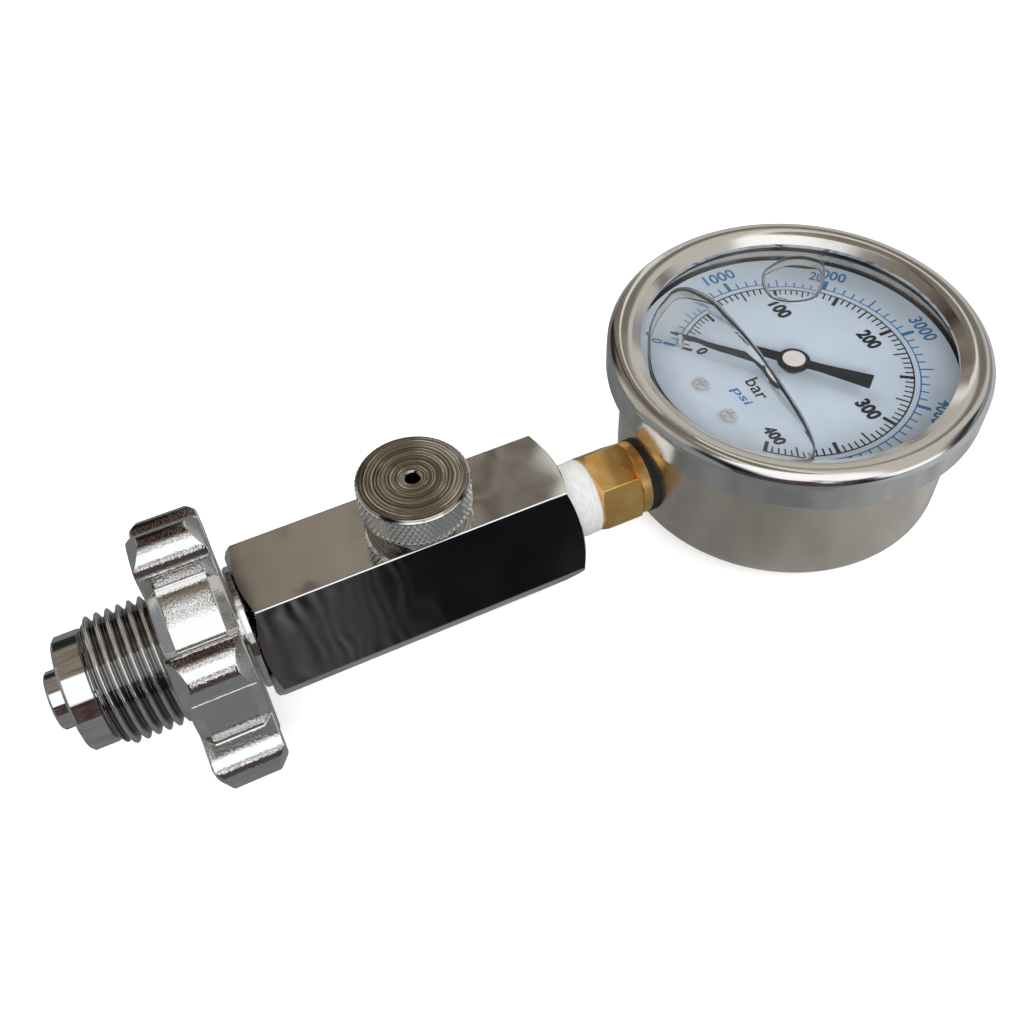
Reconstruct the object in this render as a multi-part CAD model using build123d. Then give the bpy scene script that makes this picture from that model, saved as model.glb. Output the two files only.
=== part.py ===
from build123d import *
import os
import math

os.makedirs("parts", exist_ok=True)

# Filling-pressure checker for a diving cylinder. X runs along the stem from the
# connector to the gauge, +Z is the way the dial and the bleed knob face, and the
# origin lies on the stem's axis where the connector's outer thread starts.
# All sizes are in millimetres.

# Connector, sleeve and handwheel
thread_d = 22.911
thread_length = 12.0
sleeve_bevel = 1.1
spigot_step = 2.0
nose_d = 20.0
nose_length = 4.6
nose_bevel = 0.5
pin_d = 10.2
pin_length = 3.1
pin_bevel = 0.4
shaft_d = 13.0
gas_bore_d = 4.0
seal_section = 2.4
wheel_r = 25.0
wheel_thickness = 12.0
wheel_lobes = 6
lobe_r = 4.4
lobe_root_r = 0.7
drum_r = 18.3
wheel_bevel = 2.0
wheel_phase = 42.0
wheel_cover = 0.8
washer_length = 1.2
washer_r = 11.0

# Hexagonal body and bleed screw
hex_flats = 26.0
hex_length = 58.5
hex_bevel_r = 12.4
hex_bevel_angle = 31.0
hex_edge_r = 0.5
stem_thread_d = 14.0
stem_thread_length = 13.0
relief_depth = 0.9
relief_length = 2.2
small_seal = 0.8
bleed_from_hex = 32.5
knob_d = 19.3
knob_height = 6.2
knob_bevel = 0.6
knob_gap = 2.9
neck_d = 12.0
vent_d = 2.5
bleed_thread_d = 8.0
seat_depth = 9.0
bleed_groove = 0.7
pellet_r = 1.7
pellet_depth = 1.0

# Gauge socket and tape
socket_thread_d = 13.157
socket_grip = 11.0
tape_wrap = 0.7
tape_length = 6.6
tape_inside = 1.5
wrench_flats = 14.0
wrench_length = 8.2
wrench_turn = 11.0
wrench_edge_r = 0.3
wrench_bevel = 0.7
wrench_land = 0.25
collar_d = 14.0
collar_length = 2.1
collar_bevel = 0.3
entry_step = 1.8
socket_bore_r = 1.5
gasket_over = 0.15
gasket_thickness = 0.9

# Case, bezel and window
case_r = 31.4
case_wall = 0.9
case_back = 9.6
case_round = 3.0
rim_height = 15.9
bezel_over = 3.1
bezel_top = 21.9
bezel_wall = 0.9
opening_inset = 3.0
window_thickness = 1.6
window_under = 17.9
plug_d = 8.0

# Dial, pointer and stop
dial_z = 9.6
dial_thickness = 0.6
dial_gap = 0.7
dial_screw_r = 0.9
pointer_z = 12.3
pointer_thickness = 0.5
pointer_share = 0.81
pointer_tail = 14.3
pointer_rest = 130.0
hub_d = 4.9
hub_depth = 1.3
boss_r = 3.0
stop_pin_r = 0.45
blade_half = 0.42

# Pressure tube and movement
tube_high = 4.0
tube_wide = 2.4
tube_wall = 0.5
tube_pitch = 5.2
tube_turns = 1.6
tube_z = -2.6
pinion_teeth = 10
gear_ratio = 10
plate_thickness = 1.0
back_plate_z = 1.0
front_plate_z = 7.2
pillar_r = 0.9
rivet_step = 0.35
movement_screw_r = 0.8
arbor_r = 0.6
sector_arbor_r = 0.7
sector_z = 4.0
sector_thickness = 0.8

# Clearances
running = 0.06
pivot_fit = 0.04
free_gap = 0.3
seat_gap = 0.02

# Stations along the stem
sleeve_x = -sleeve_bevel
nose_end = sleeve_x - free_gap
nose_x = nose_end - nose_length
wheel_x = sleeve_x + thread_length
wheel_end = wheel_x + wheel_thickness
washer_x = wheel_end + free_gap
hex_x = washer_x + washer_length
hex_end = hex_x + hex_length
bleed_x = hex_x + bleed_from_hex
wrench_x = hex_end + tape_length
collar_x = wrench_x + wrench_length
gasket_x = collar_x + collar_length
gauge_x = gasket_x + gasket_thickness + case_r
socket_start = hex_end - socket_grip

# Derived gauge sizes
bezel_r = case_r + bezel_over
opening_r = case_r - opening_inset
inner_r = case_r - case_wall
coil_r = case_r * 0.5414
scale = coil_r / 17.0
tooth = coil_r / 85.0
pinion_r = tooth * pinion_teeth / 2.0
sector_r = pinion_r * gear_ratio
pivot_y = -(pinion_r + sector_r)
jaw_back = coil_r + tube_wide / 2.0 + 2.6
block_back = inner_r - 3.4
jaw_front = coil_r - tube_wide / 2.0 - 2.0
slot_low = tube_z + tube_high / 2.0 + 0.7
slot_high = tube_z + tube_pitch + tube_high / 2.0 + 0.6
block_half = 6.4
block_low = -5.5
dial_back = dial_z - dial_thickness
dial_r = inner_r - dial_gap
pointer_r = dial_r * pointer_share
spigot_r = thread_d / 2 - spigot_step
spigot_end = wheel_end - wheel_cover
entry_r = collar_d / 2 - entry_step
sector_top = sector_z + sector_thickness


def rod(radius, start, end, y=0.0, z=0.0):
    """Cylinder along X between two stations."""
    body = Cylinder(radius, end - start, rotation=(0, 90, 0))
    return Pos((start + end) / 2, y, z) * body


def post(radius, low, high, x=0.0, y=0.0):
    """Cylinder along Z between two heights."""
    return Pos(x, y, (low + high) / 2) * Cylinder(radius, high - low)


def block(x0, x1, y0, y1, z0, z1):
    """Box between two corners."""
    return Pos((x0 + x1) / 2, (y0 + y1) / 2, (z0 + z1) / 2) * Box(x1 - x0, y1 - y0, z1 - z0)


def turned_x(points):
    """Solid of revolution about X from (station, radius) points."""
    face = make_face(Polyline(*points, close=True))
    return revolve(face, Axis.X, 360)


def turned_z(points, x=0.0, rounds=()):
    """Solid of revolution about Z from (radius, height) points, with corners rounded."""
    face = make_face(Polyline(*[(r, 0, z) for r, z in points], close=True))
    for r, z, size in rounds:
        corner = face.vertices().sort_by_distance((r, 0, z))[0]
        face = fillet(corner, size)
    return Pos(x, 0, 0) * revolve(face, Axis.Z, 360)


def o_ring_x(middle_r, section_r, station):
    """O-ring whose axis is X."""
    return Pos(station, 0, 0) * Torus(middle_r, section_r, rotation=(0, 90, 0))


def plate(points, low, high):
    """Flat plate from a closed outline in the dial's plane."""
    face = make_face(Polyline(*[(x, y, low) for x, y in points], close=True))
    return extrude(face, high - low, dir=(0, 0, 1))


def on_gauge(shape):
    """Moves a shape built about the pointer's axis to the gauge."""
    return Pos(gauge_x, 0, 0) * shape


def at_angle(radius, degrees):
    """Point at a radius and an angle from +X, seen from the dial's side."""
    a = math.radians(degrees)
    return (radius * math.cos(a), radius * math.sin(a))


def make_din_stem():
    """Fixed stem: spigot, nose with a face groove, shaft and screwed end."""
    groove = pin_d / 2 + seal_section + 0.25
    start = nose_x - pin_length
    end = hex_x + stem_thread_length
    relief = stem_thread_d / 2 - relief_depth
    body = turned_x([
        (start, 0),
        (start, pin_d / 2 - pin_bevel),
        (start + pin_bevel, pin_d / 2),
        (nose_x + seal_section * 0.8, pin_d / 2),
        (nose_x + seal_section * 0.8, groove),
        (nose_x, groove),
        (nose_x, nose_d / 2 - nose_bevel),
        (nose_x + nose_bevel, nose_d / 2),
        (nose_end - 0.3, nose_d / 2),
        (nose_end, nose_d / 2 - 0.3),
        (nose_end, shaft_d / 2),
        (hex_x, shaft_d / 2),
        (hex_x, relief),
        (hex_x + relief_length, relief),
        (hex_x + relief_length, stem_thread_d / 2),
        (end - 1, stem_thread_d / 2),
        (end, stem_thread_d / 2 - 1),
        (end, 0),
    ])
    return body - rod(gas_bore_d / 2, start - 1, end + 1)


def make_nose_seal():
    """O-ring in the face groove round the spigot."""
    middle_r = (pin_d + seal_section) / 2 + 0.1
    return o_ring_x(middle_r, seal_section / 2, nose_x + seal_section * 0.3)


def make_stem_seal():
    """O-ring in the undercut where the stem meets the body."""
    middle_r = stem_thread_d / 2 - relief_depth + small_seal
    return o_ring_x(middle_r, small_seal, hex_x + relief_length / 2)


def make_sleeve():
    """Screwed sleeve that turns on the shaft and carries the wheel."""
    outer = thread_d / 2
    body = turned_x([
        (sleeve_x, 0),
        (sleeve_x, outer - sleeve_bevel * 1.3),
        (0, outer),
        (wheel_x, outer),
        (wheel_x, spigot_r),
        (spigot_end, spigot_r),
        (spigot_end, 0),
    ])
    return body - rod(shaft_d / 2 + running, sleeve_x - 1, wheel_end + 1)


def make_handwheel():
    """Cast wheel: bevelled drum with round lobes, its tips turned to a cone."""
    start = wheel_x
    end = wheel_end
    bevel = wheel_bevel
    drum = turned_x([
        (start, 0),
        (start, drum_r - bevel),
        (start + bevel, drum_r),
        (end - bevel, drum_r),
        (end, drum_r - bevel),
        (end, 0),
    ])
    centre_r = wheel_r - lobe_r
    lobes = Part()
    for k in range(wheel_lobes):
        angle = math.radians(wheel_phase + 360.0 * k / wheel_lobes)
        y = -math.cos(angle)
        z = math.sin(angle)
        tip = rod(lobe_r, start, end, centre_r * y, centre_r * z)
        foot = Box(wheel_thickness, centre_r - drum_r * 0.7, lobe_r * 1.84)
        foot = Rotation(math.degrees(math.atan2(z, y)), 0, 0) * foot
        foot_r = (centre_r + drum_r * 0.7) / 2
        lobes += tip + Pos((start + end) / 2, foot_r * y, foot_r * z) * foot
    cone = turned_x([
        (start, 0),
        (start, wheel_r - bevel * 1.25),
        (start + bevel, wheel_r - 0.15),
        (start + bevel + 0.5, wheel_r),
        (end - bevel - 0.5, wheel_r),
        (end - bevel, wheel_r - 0.15),
        (end, wheel_r - bevel * 1.25),
        (end, 0),
    ])
    wheel = drum + (lobes & cone)
    roots = []
    for edge in wheel.edges().filter_by(Axis.X):
        middle = edge @ 0.5
        if abs(math.hypot(middle.Y, middle.Z) - drum_r) < 0.6:
            roots.append(edge)
    wheel = fillet(roots, lobe_root_r)
    bore = rod(spigot_r, start - 1, spigot_end) + rod(shaft_d / 2 + wheel_cover, start, end + 1)
    return wheel - bore


def make_washer():
    """Plain ring between the wheel and the body."""
    ring = turned_x([
        (washer_x, 0),
        (washer_x, washer_r - 0.4),
        (washer_x + 0.4, washer_r),
        (hex_x, washer_r),
        (hex_x, 0),
    ])
    return ring - rod(shaft_d / 2, washer_x - 1, hex_x + 1)


def make_hex_body():
    """Hexagonal body with coned ends, gas passages and the bleed seat."""
    corner = hex_flats / math.sqrt(3)
    cone = (corner - hex_bevel_r) * math.tan(math.radians(hex_bevel_angle))
    hexagon = RegularPolygon(hex_flats / 2, 6, major_radius=False)
    section = Plane.YZ.offset(hex_x) * fillet(hexagon.vertices(), hex_edge_r)
    prism = extrude(section, hex_length, dir=(1, 0, 0))
    envelope = turned_x([
        (hex_x, 0),
        (hex_x, hex_bevel_r),
        (hex_x + cone, corner),
        (hex_x + cone, corner + 1),
        (hex_end - cone, corner + 1),
        (hex_end - cone, corner),
        (hex_end, hex_bevel_r),
        (hex_end, 0),
    ])
    body = prism & envelope
    half = hex_flats / 2
    seat = half - seat_depth
    body -= rod(stem_thread_d / 2, hex_x - 1, hex_x + stem_thread_length)
    body -= rod(stem_thread_d / 2 - relief_depth + 2 * small_seal, hex_x - 1, hex_x + relief_length)
    body -= rod(gas_bore_d / 2, hex_x, hex_end)
    body -= rod(socket_thread_d / 2, socket_start - 0.5, hex_end + 1)
    body -= rod(socket_thread_d / 2 + tape_wrap, hex_end - tape_inside, hex_end + 1)
    body -= post(bleed_thread_d / 2 + running, seat, half + 1, bleed_x)
    body -= post(bleed_thread_d / 2 + 1.0, half - 2.6, half + 1, bleed_x)
    body -= post(vent_d / 2, 0, seat + 1, bleed_x)
    return body


def make_bleed_knob():
    """Knob, neck and hollow screw turned from one bar."""
    flat = hex_flats / 2
    low = flat + knob_gap
    top = low + knob_height
    tip = flat - seat_depth + pellet_depth
    radius = knob_d / 2
    screw = bleed_thread_d / 2
    profile = turned_z([
        (0, tip),
        (screw - 0.5, tip),
        (screw, tip + 0.5),
        (screw, flat - 2.2),
        (screw - bleed_groove, flat - 2.2),
        (screw - bleed_groove, flat - 0.6),
        (screw, flat - 0.6),
        (screw, flat + free_gap),
        (neck_d / 2, flat + free_gap),
        (neck_d / 2, low - 0.3),
        (radius - 0.4, low - 0.3),
        (radius, low + 0.1),
        (radius, top - knob_bevel),
        (radius - knob_bevel, top),
        (vent_d / 2 + 0.5, top),
        (vent_d / 2, top - 0.5),
        (0, top - 0.5),
    ], bleed_x)
    profile -= post(vent_d / 2, tip + 2.4, top + 1, bleed_x)
    profile -= post(pellet_r, tip - 1, tip + pellet_depth, bleed_x)
    cross = Pos(bleed_x, 0, tip + 3.2) * Cylinder(0.7, knob_d, rotation=(90, 0, 0))
    return profile - (cross & post(screw + 0.01, tip, tip + 5, bleed_x))


def make_bleed_pellet():
    """Soft seat held in the tip of the bleed screw."""
    tip = hex_flats / 2 - seat_depth + pellet_depth
    low = tip - pellet_depth + seat_gap
    high = tip + pellet_depth - pivot_fit
    return turned_z([
        (0, low),
        (pellet_r - 0.3, low),
        (pellet_r - pivot_fit, tip - 0.6),
        (pellet_r - pivot_fit, high),
        (0, high),
    ], bleed_x)


def make_bleed_seal():
    """O-ring in the groove of the bleed screw."""
    height = hex_flats / 2 - 1.4
    ring = Torus(bleed_thread_d / 2 + 0.1, small_seal)
    return Pos(bleed_x, 0, height) * ring


def make_tape():
    """Wrapped sealing tape on the socket's thread."""
    ring = turned_x([
        (hex_end - tape_inside, 0),
        (hex_end - tape_inside, socket_thread_d / 2 + tape_wrap),
        (wrench_x - 0.5, socket_thread_d / 2 + tape_wrap),
        (wrench_x, socket_thread_d / 2 + tape_wrap - 0.4),
        (wrench_x, 0),
    ])
    return ring - rod(socket_thread_d / 2, hex_end - 2, wrench_x + 1)


def wrench_hexagon():
    """Hexagon that a wrench holds, with its corners turned off at both ends."""
    corner = wrench_flats / math.sqrt(3)
    land = wrench_flats / 2 - wrench_land
    hexagon = RegularPolygon(wrench_flats / 2, 6, major_radius=False, rotation=wrench_turn)
    section = Plane.YZ.offset(wrench_x) * fillet(hexagon.vertices(), wrench_edge_r)
    envelope = turned_x([
        (wrench_x, 0),
        (wrench_x, land),
        (wrench_x + wrench_bevel, corner),
        (collar_x - wrench_bevel, corner),
        (collar_x, land),
        (collar_x, 0),
    ])
    return extrude(section, wrench_length, dir=(1, 0, 0)) & envelope


def make_socket():
    """Brass socket: screwed end, hexagon, collar and the slotted block inside."""
    body = rod(socket_thread_d / 2, socket_start, wrench_x)
    body += wrench_hexagon()
    body += turned_x([
        (collar_x, 0),
        (collar_x, collar_d / 2 - collar_bevel),
        (collar_x + collar_bevel, collar_d / 2),
        (gasket_x, collar_d / 2),
        (gasket_x, 0),
    ])
    body += rod(entry_r, gasket_x, gauge_x - block_back + 0.5)
    body += block(gauge_x - block_back, gauge_x - jaw_back, -block_half, block_half,
                  block_low, dial_back)
    body += block(gauge_x - jaw_back, gauge_x - jaw_front, -block_half, block_half,
                  block_low, slot_low)
    body += block(gauge_x - jaw_back, gauge_x - jaw_front, -block_half, block_half,
                  slot_high, dial_back)
    body += block(gauge_x - jaw_front - 0.5, gauge_x + 7 * scale, -4.6, 4.6,
                  block_low, back_plate_z)
    elbow = gauge_x - jaw_back - 1.8
    passage = 0.8
    body -= rod(socket_bore_r, socket_start - 1, elbow + passage)
    body -= post(passage, tube_z - passage, 0, elbow)
    body -= rod(passage, elbow, gauge_x - coil_r, 0, tube_z)
    body -= on_gauge(make_tube_outside())
    for x, y in screw_places():
        body -= post(dial_screw_r, dial_back - 3.5, dial_back + 1, x, y)
    for x, y in movement_screw_places():
        body -= post(movement_screw_r, back_plate_z - 3.0, back_plate_z + 1, x, y)
    return body


def make_socket_gasket():
    """Rubber seal between the socket's collar and the case."""
    ring = rod(collar_d / 2 + gasket_over, gasket_x, gasket_x + gasket_thickness + 1.2)
    ring -= rod(entry_r, gasket_x - 1, gasket_x + 5)
    return ring - post(case_r, -20, 20, gauge_x)


def tube_path():
    """Left-handed helix about the pointer's axis, starting on the socket's side."""
    path = Helix(tube_pitch, tube_pitch * tube_turns, coil_r, lefthand=True)
    return Pos(0, 0, tube_z) * Rotation(0, 0, 180) * path


def make_tube_outside():
    """Outer form of the flattened pressure tube."""
    path = tube_path()
    start = path.location_at(0)
    tangent = path.tangent_at(0)
    section = Plane(origin=start.position, x_dir=(1, 0, 0), z_dir=tangent)
    face = section * Ellipse(tube_wide / 2, tube_high / 2)
    return sweep(face, path=path.edges()[0], is_frenet=True)


def make_tube():
    """Helical pressure tube with its bore."""
    path = tube_path()
    start = path.location_at(0)
    section = Plane(origin=start.position, x_dir=(1, 0, 0), z_dir=path.tangent_at(0))
    face = Ellipse(tube_wide / 2, tube_high / 2)
    face -= Ellipse(tube_wide / 2 - tube_wall, tube_high / 2 - tube_wall)
    return on_gauge(sweep(section * face, path=path.edges()[0], is_frenet=True))


def tube_end():
    """Angle in degrees and height of the tube's closed end."""
    return 180.0 - 360.0 * tube_turns, tube_z + tube_pitch * tube_turns


def make_tube_tip():
    """Soldered end piece with the lug that the link hangs from."""
    angle, height = tube_end()
    along = 2.2
    cap = Pos(coil_r, -along / 2, height) * Box(tube_wide + 0.6, along, tube_high + 0.4)
    reach = 4.6 * scale
    low = height + 0.2
    arm = block(coil_r - reach, coil_r, -1.5 * scale - 0.4, -0.1, low, low + 0.8)
    eye = post(1.1 * scale, low, low + 0.8, coil_r - reach, -0.9 * scale)
    hole = post(0.45 * scale, low - 1, low + 2, coil_r - reach, -0.9 * scale)
    piece = Rotation(0, 0, angle) * (cap + arm + eye - hole)
    return on_gauge(piece - make_tube_outside())


def lug_place():
    """Centre of the lug's hole about the pointer's axis."""
    angle, _ = tube_end()
    a = math.radians(angle)
    x = coil_r - 4.6 * scale
    y = -0.9 * scale
    return (x * math.cos(a) - y * math.sin(a), x * math.sin(a) + y * math.cos(a))


def make_case():
    """Drawn case with a rounded back, a front flange and two holes."""
    outer = case_r
    flange = bezel_r - 1.1
    rim = rim_height
    points = [(0, -case_back), (outer, -case_back), (outer, rim - case_wall),
              (flange, rim - case_wall), (flange, rim), (inner_r, rim),
              (inner_r, -case_back + case_wall), (0, -case_back + case_wall)]
    rounds = [(outer, -case_back, case_round), (inner_r, -case_back + case_wall, case_round - case_wall)]
    body = turned_z(points, gauge_x, rounds)
    body -= rod(entry_r, gauge_x - outer - 2, gauge_x - inner_r + 3)
    body -= rod(plug_d / 2, gauge_x + inner_r - 3, gauge_x + outer + 2)
    return body


def make_plug():
    """Rubber filling plug on the far side of the case."""
    body = rod(plug_d / 2, gauge_x + inner_r - 1.2, gauge_x + case_r + 1.0)
    flange = rod(plug_d / 2 + 1.3, gauge_x + case_r - 1.0, gauge_x + case_r + 1.4)
    lip = rod(plug_d / 2 + 0.6, gauge_x + inner_r - 2.0, gauge_x + inner_r)
    flange -= post(case_r, -20, 20, gauge_x)
    return body + flange + (lip & post(inner_r, -20, 20, gauge_x))


def make_bezel():
    """Rolled bezel ring that clamps the window on the case's flange."""
    out = bezel_r
    top = bezel_top
    wall = bezel_wall
    seat = window_under + window_thickness
    low = rim_height - case_wall - 1.0
    inner = case_r + 0.1
    crest = out - 3.6
    points = [(inner, low), (out, low), (out, top), (crest, top - 0.1), (opening_r, top - 1.7),
              (opening_r, seat), (opening_r + 1.4, seat), (crest, top - 1.1),
              (out - wall, top - wall), (out - wall, low + 1.0), (inner, low + 1.0)]
    rounds = [(out, top, 2.4), (out - wall, top - wall, 1.5), (out, low, 0.9), (crest, top - 0.1, 4.0)]
    return turned_z(points, gauge_x, rounds)


def make_window():
    """Clear window."""
    return post(bezel_r - 2.4, window_under, window_under + window_thickness, gauge_x)


def make_window_gasket():
    """Rubber ring between the case's flange and the window."""
    outer = bezel_r - 1.2
    ring = post(outer, rim_height, window_under, gauge_x)
    return ring - post(inner_r - 1.2, rim_height - 1, window_under + 1, gauge_x)


def screw_places():
    """Centres of the two dial screws."""
    x = gauge_x - coil_r + 0.6
    return [(x, 4.7), (x, -4.7)]


def make_dial():
    """Dial plate with its centre hole, screw holes and stop hole."""
    body = post(dial_r, dial_back, dial_z, gauge_x)
    body -= post(1.8, dial_back - 1, dial_z + 1, gauge_x)
    for x, y in screw_places():
        body -= post(dial_screw_r, dial_back - 1, dial_z + 1, x, y)
    x, y = stop_place()
    return body - post(stop_pin_r, dial_back - 1, dial_z + 1, x, y)


def make_dial_screws():
    """Two pan-headed screws through the dial into the block."""
    screws = Part()
    for x, y in screw_places():
        head = post(1.6, dial_z, dial_z + 0.9, x, y)
        head = fillet(head.edges().sort_by(Axis.Z)[-1], 0.5)
        head -= block(x - 1.1, x + 1.1, y - 0.2, y + 0.2, dial_z + 0.5, dial_z + 1)
        head -= block(x - 0.2, x + 0.2, y - 1.1, y + 1.1, dial_z + 0.5, dial_z + 1)
        screws += head + post(dial_screw_r, dial_back - 3.2, dial_z, x, y)
    return screws


def stop_place():
    """Centre of the stop pin, beside the pointer's tip at zero."""
    x, y = at_angle(pointer_r * 0.9, pointer_rest)
    side_x, side_y = at_angle(stop_pin_r + blade_half + running, pointer_rest + 90)
    return (gauge_x + x + side_x, y + side_y)


def make_stop_pin():
    """Pin that the pointer rests on at zero, with a small foot on the dial."""
    x, y = stop_place()
    foot = post(stop_pin_r * 2.1, dial_z, dial_z + 0.4, x, y)
    return foot + post(stop_pin_r, dial_back - 0.4, pointer_z + pointer_thickness + 0.9, x, y)


def pillar_places():
    """Centres of the three pillars between the movement's plates."""
    places = [(-5.7, -9.2), (6.2, 2.6), (-6.2, 2.6)]
    return [(x * scale, y * scale) for x, y in places]


def movement_screw_places():
    """Centres of the two screws that hold the back plate."""
    return [(gauge_x - 2.6 * scale, -3.0 * scale), (gauge_x + 2.6 * scale, 2.6 * scale)]


def plate_outline():
    """Outline shared by the movement's plates."""
    points = [(-7.8, -9.9), (-4.6, -12.0), (-1.8, -13.0), (1.8, -13.0), (4.4, -9.0), (7.8, 0.6),
              (7.8, 4.2), (-7.8, 4.2)]
    return [(x * scale, y * scale) for x, y in points]


def drilled_plate(low, extra):
    """Movement plate with its pivot and pillar holes."""
    body = plate(plate_outline(), low, low + plate_thickness)
    body -= post(arbor_r + pivot_fit, low - 1, low + 2)
    body -= post(sector_arbor_r + pivot_fit, low - 1, low + 2, 0, pivot_y)
    for x, y in pillar_places():
        body -= post(pillar_r - rivet_step, low - 1, low + 2, x, y)
    for x, y in extra:
        body -= post(movement_screw_r, low - 1, low + 2, x - gauge_x, y)
    return on_gauge(body)


def make_back_plate():
    """Back plate of the movement."""
    return drilled_plate(back_plate_z, movement_screw_places())


def make_front_plate():
    """Front plate of the movement."""
    return drilled_plate(front_plate_z, [])


def make_pillars():
    """Shouldered pillars riveted through both plates."""
    low = back_plate_z + plate_thickness
    pillars = Part()
    for x, y in pillar_places():
        pillars += post(pillar_r, low, front_plate_z, x, y)
        pillars += post(pillar_r - rivet_step, back_plate_z + 0.1,
                        front_plate_z + plate_thickness + 0.3, x, y)
    return on_gauge(pillars)


def make_movement_screws():
    """Two screws that hold the back plate on the socket's tongue."""
    top = back_plate_z + plate_thickness
    screws = Part()
    for x, y in movement_screw_places():
        head = post(movement_screw_r + 0.5, top, top + 0.7, x, y)
        screws += head + post(movement_screw_r, back_plate_z - 2.8, top, x, y)
    return screws


def gear_outline(teeth, radius, first, count, slim):
    """Tooth points of a gear or of a run of its teeth, as (radius, angle)."""
    step = 360.0 / teeth
    add = tooth * 0.85
    ded = tooth * 1.2
    points = []
    for k in range(count):
        middle = first + k * step
        for radial, share in [(-ded, -0.36), (-add * 0.2, -0.26), (add * 0.55, -0.18),
                              (add, -0.09), (add, 0.09), (add * 0.55, 0.18),
                              (-add * 0.2, 0.26), (-ded, 0.36)]:
            points.append((radius + radial, middle + share * step * slim))
    return points


def make_pinion():
    """Pointer arbor with its ten-leaved pinion."""
    points = gear_outline(pinion_teeth, pinion_r, 270 + 18, pinion_teeth, 0.86)
    teeth = plate([at_angle(r, a) for r, a in points], 3.4, 5.6)
    shaft = post(arbor_r, back_plate_z + 0.15, pointer_z)
    return on_gauge(shaft + teeth)


def tail_place():
    """Centre of the sector's tail hole about the pointer's axis."""
    x, y = at_angle(4.5 * scale, -75)
    return (x, y + pivot_y)


def make_sector():
    """Toothed sector with its tail, pivoted beside the pinion."""
    whole = pinion_teeth * gear_ratio
    step = 360.0 / whole
    count = 12
    first = 90 - (count - 2) * step
    points = gear_outline(whole, sector_r, first, count, 0.86)
    outer = [at_angle(r, a) for r, a in points]
    low_angle = first - step / 2
    high_angle = first + (count - 0.5) * step
    root = sector_r - tooth * 1.2
    outline = [at_angle(root, low_angle)] + outer + [at_angle(root, high_angle)]
    outline += [at_angle(1.8 * scale, 150), at_angle(1.8 * scale, 210)]
    outline += [at_angle(1.8 * scale, 330), at_angle(1.8 * scale, 20)]
    body = plate(outline, sector_z, sector_top)
    body += post(1.9 * scale, sector_z, sector_top)
    window = [at_angle(3.4 * scale, low_angle + 12), at_angle(8.2 * scale, low_angle + 5),
              at_angle(8.2 * scale, high_angle - 5), at_angle(3.4 * scale, high_angle - 12)]
    body -= plate(window, sector_z - 1, sector_top + 1)
    tail_x, tail_y = at_angle(4.5 * scale, -75)
    side = at_angle(1.2 * scale, 15)
    tail = [(side[0], side[1]), (tail_x + side[0], tail_y + side[1]),
            (tail_x - side[0], tail_y - side[1]), (-side[0], -side[1])]
    body += plate(tail, sector_z, sector_top)
    body += post(1.2 * scale, sector_z, sector_top, tail_x, tail_y)
    body -= post(sector_arbor_r, sector_z - 1, sector_top + 1)
    body -= post(0.45 * scale + pivot_fit, sector_z - 1, sector_top + 1, tail_x, tail_y)
    return on_gauge(Pos(0, pivot_y, 0) * body)


def make_sector_arbor():
    """Arbor that the sector is fixed on."""
    low = back_plate_z + 0.15
    high = front_plate_z + plate_thickness + 0.2
    return on_gauge(post(sector_arbor_r, low, high, 0, pivot_y))


def link_heights():
    """Underside, thickness and clear height of the link, between the sector and the lug."""
    low = sector_top + 0.1
    high = tube_end()[1] + 0.1
    return low, (high - low) * 0.7, high


def make_link():
    """Flat link from the sector's tail to the tube's lug."""
    tail = tail_place()
    lug = lug_place()
    low, thick, _ = link_heights()
    angle = math.atan2(lug[1] - tail[1], lug[0] - tail[0])
    side = (-math.sin(angle) * 0.7 * scale, math.cos(angle) * 0.7 * scale)
    bar = [(tail[0] + side[0], tail[1] + side[1]), (lug[0] + side[0], lug[1] + side[1]),
           (lug[0] - side[0], lug[1] - side[1]), (tail[0] - side[0], tail[1] - side[1])]
    body = plate(bar, low, low + thick)
    body += post(1.0 * scale, low, low + thick, tail[0], tail[1])
    body += post(1.0 * scale, low, low + thick, lug[0], lug[1])
    for x, y in (tail, lug):
        body -= post(0.45 * scale, low - 1, low + 2, x, y)
    return on_gauge(body)


def make_link_pins():
    """The link's two pins."""
    tail = tail_place()
    lug = lug_place()
    low, thick, high = link_heights()
    pins = post(0.45 * scale, sector_z - 0.3, low + thick + 0.15, tail[0], tail[1])
    pins += post(0.45 * scale, low - 0.25, high - 0.05, lug[0], lug[1])
    return on_gauge(pins)


def make_hairspring():
    """Flat spiral spring round the pointer arbor, held at one pillar."""
    turns = 3.25
    first = 1.45 * scale
    last = 4.9 * scale
    half = 0.08
    anchor = pillar_places()[1]
    end_angle = math.degrees(math.atan2(anchor[1], anchor[0]))
    count = 66
    outer = []
    inner = []
    for k in range(count + 1):
        t = k / count
        radius = first + (last - first) * t
        angle = end_angle - 360.0 * turns * (1 - t)
        outer.append(at_angle(radius + half, angle))
        inner.append(at_angle(radius - half, angle))
    body = plate(outer + inner[::-1], 6.0, 6.7)
    stud_x, stud_y = at_angle((last + math.hypot(*anchor)) / 2, end_angle)
    reach = math.hypot(*anchor) - pillar_r - last + 0.3
    stud = Pos(stud_x, stud_y, 6.35) * Rotation(0, 0, end_angle) * Box(reach + 1.2, 0.5, 0.7)
    body += stud
    for x, y in pillar_places():
        body -= post(pillar_r, 5, 8, x, y)
    return on_gauge(body)


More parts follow.
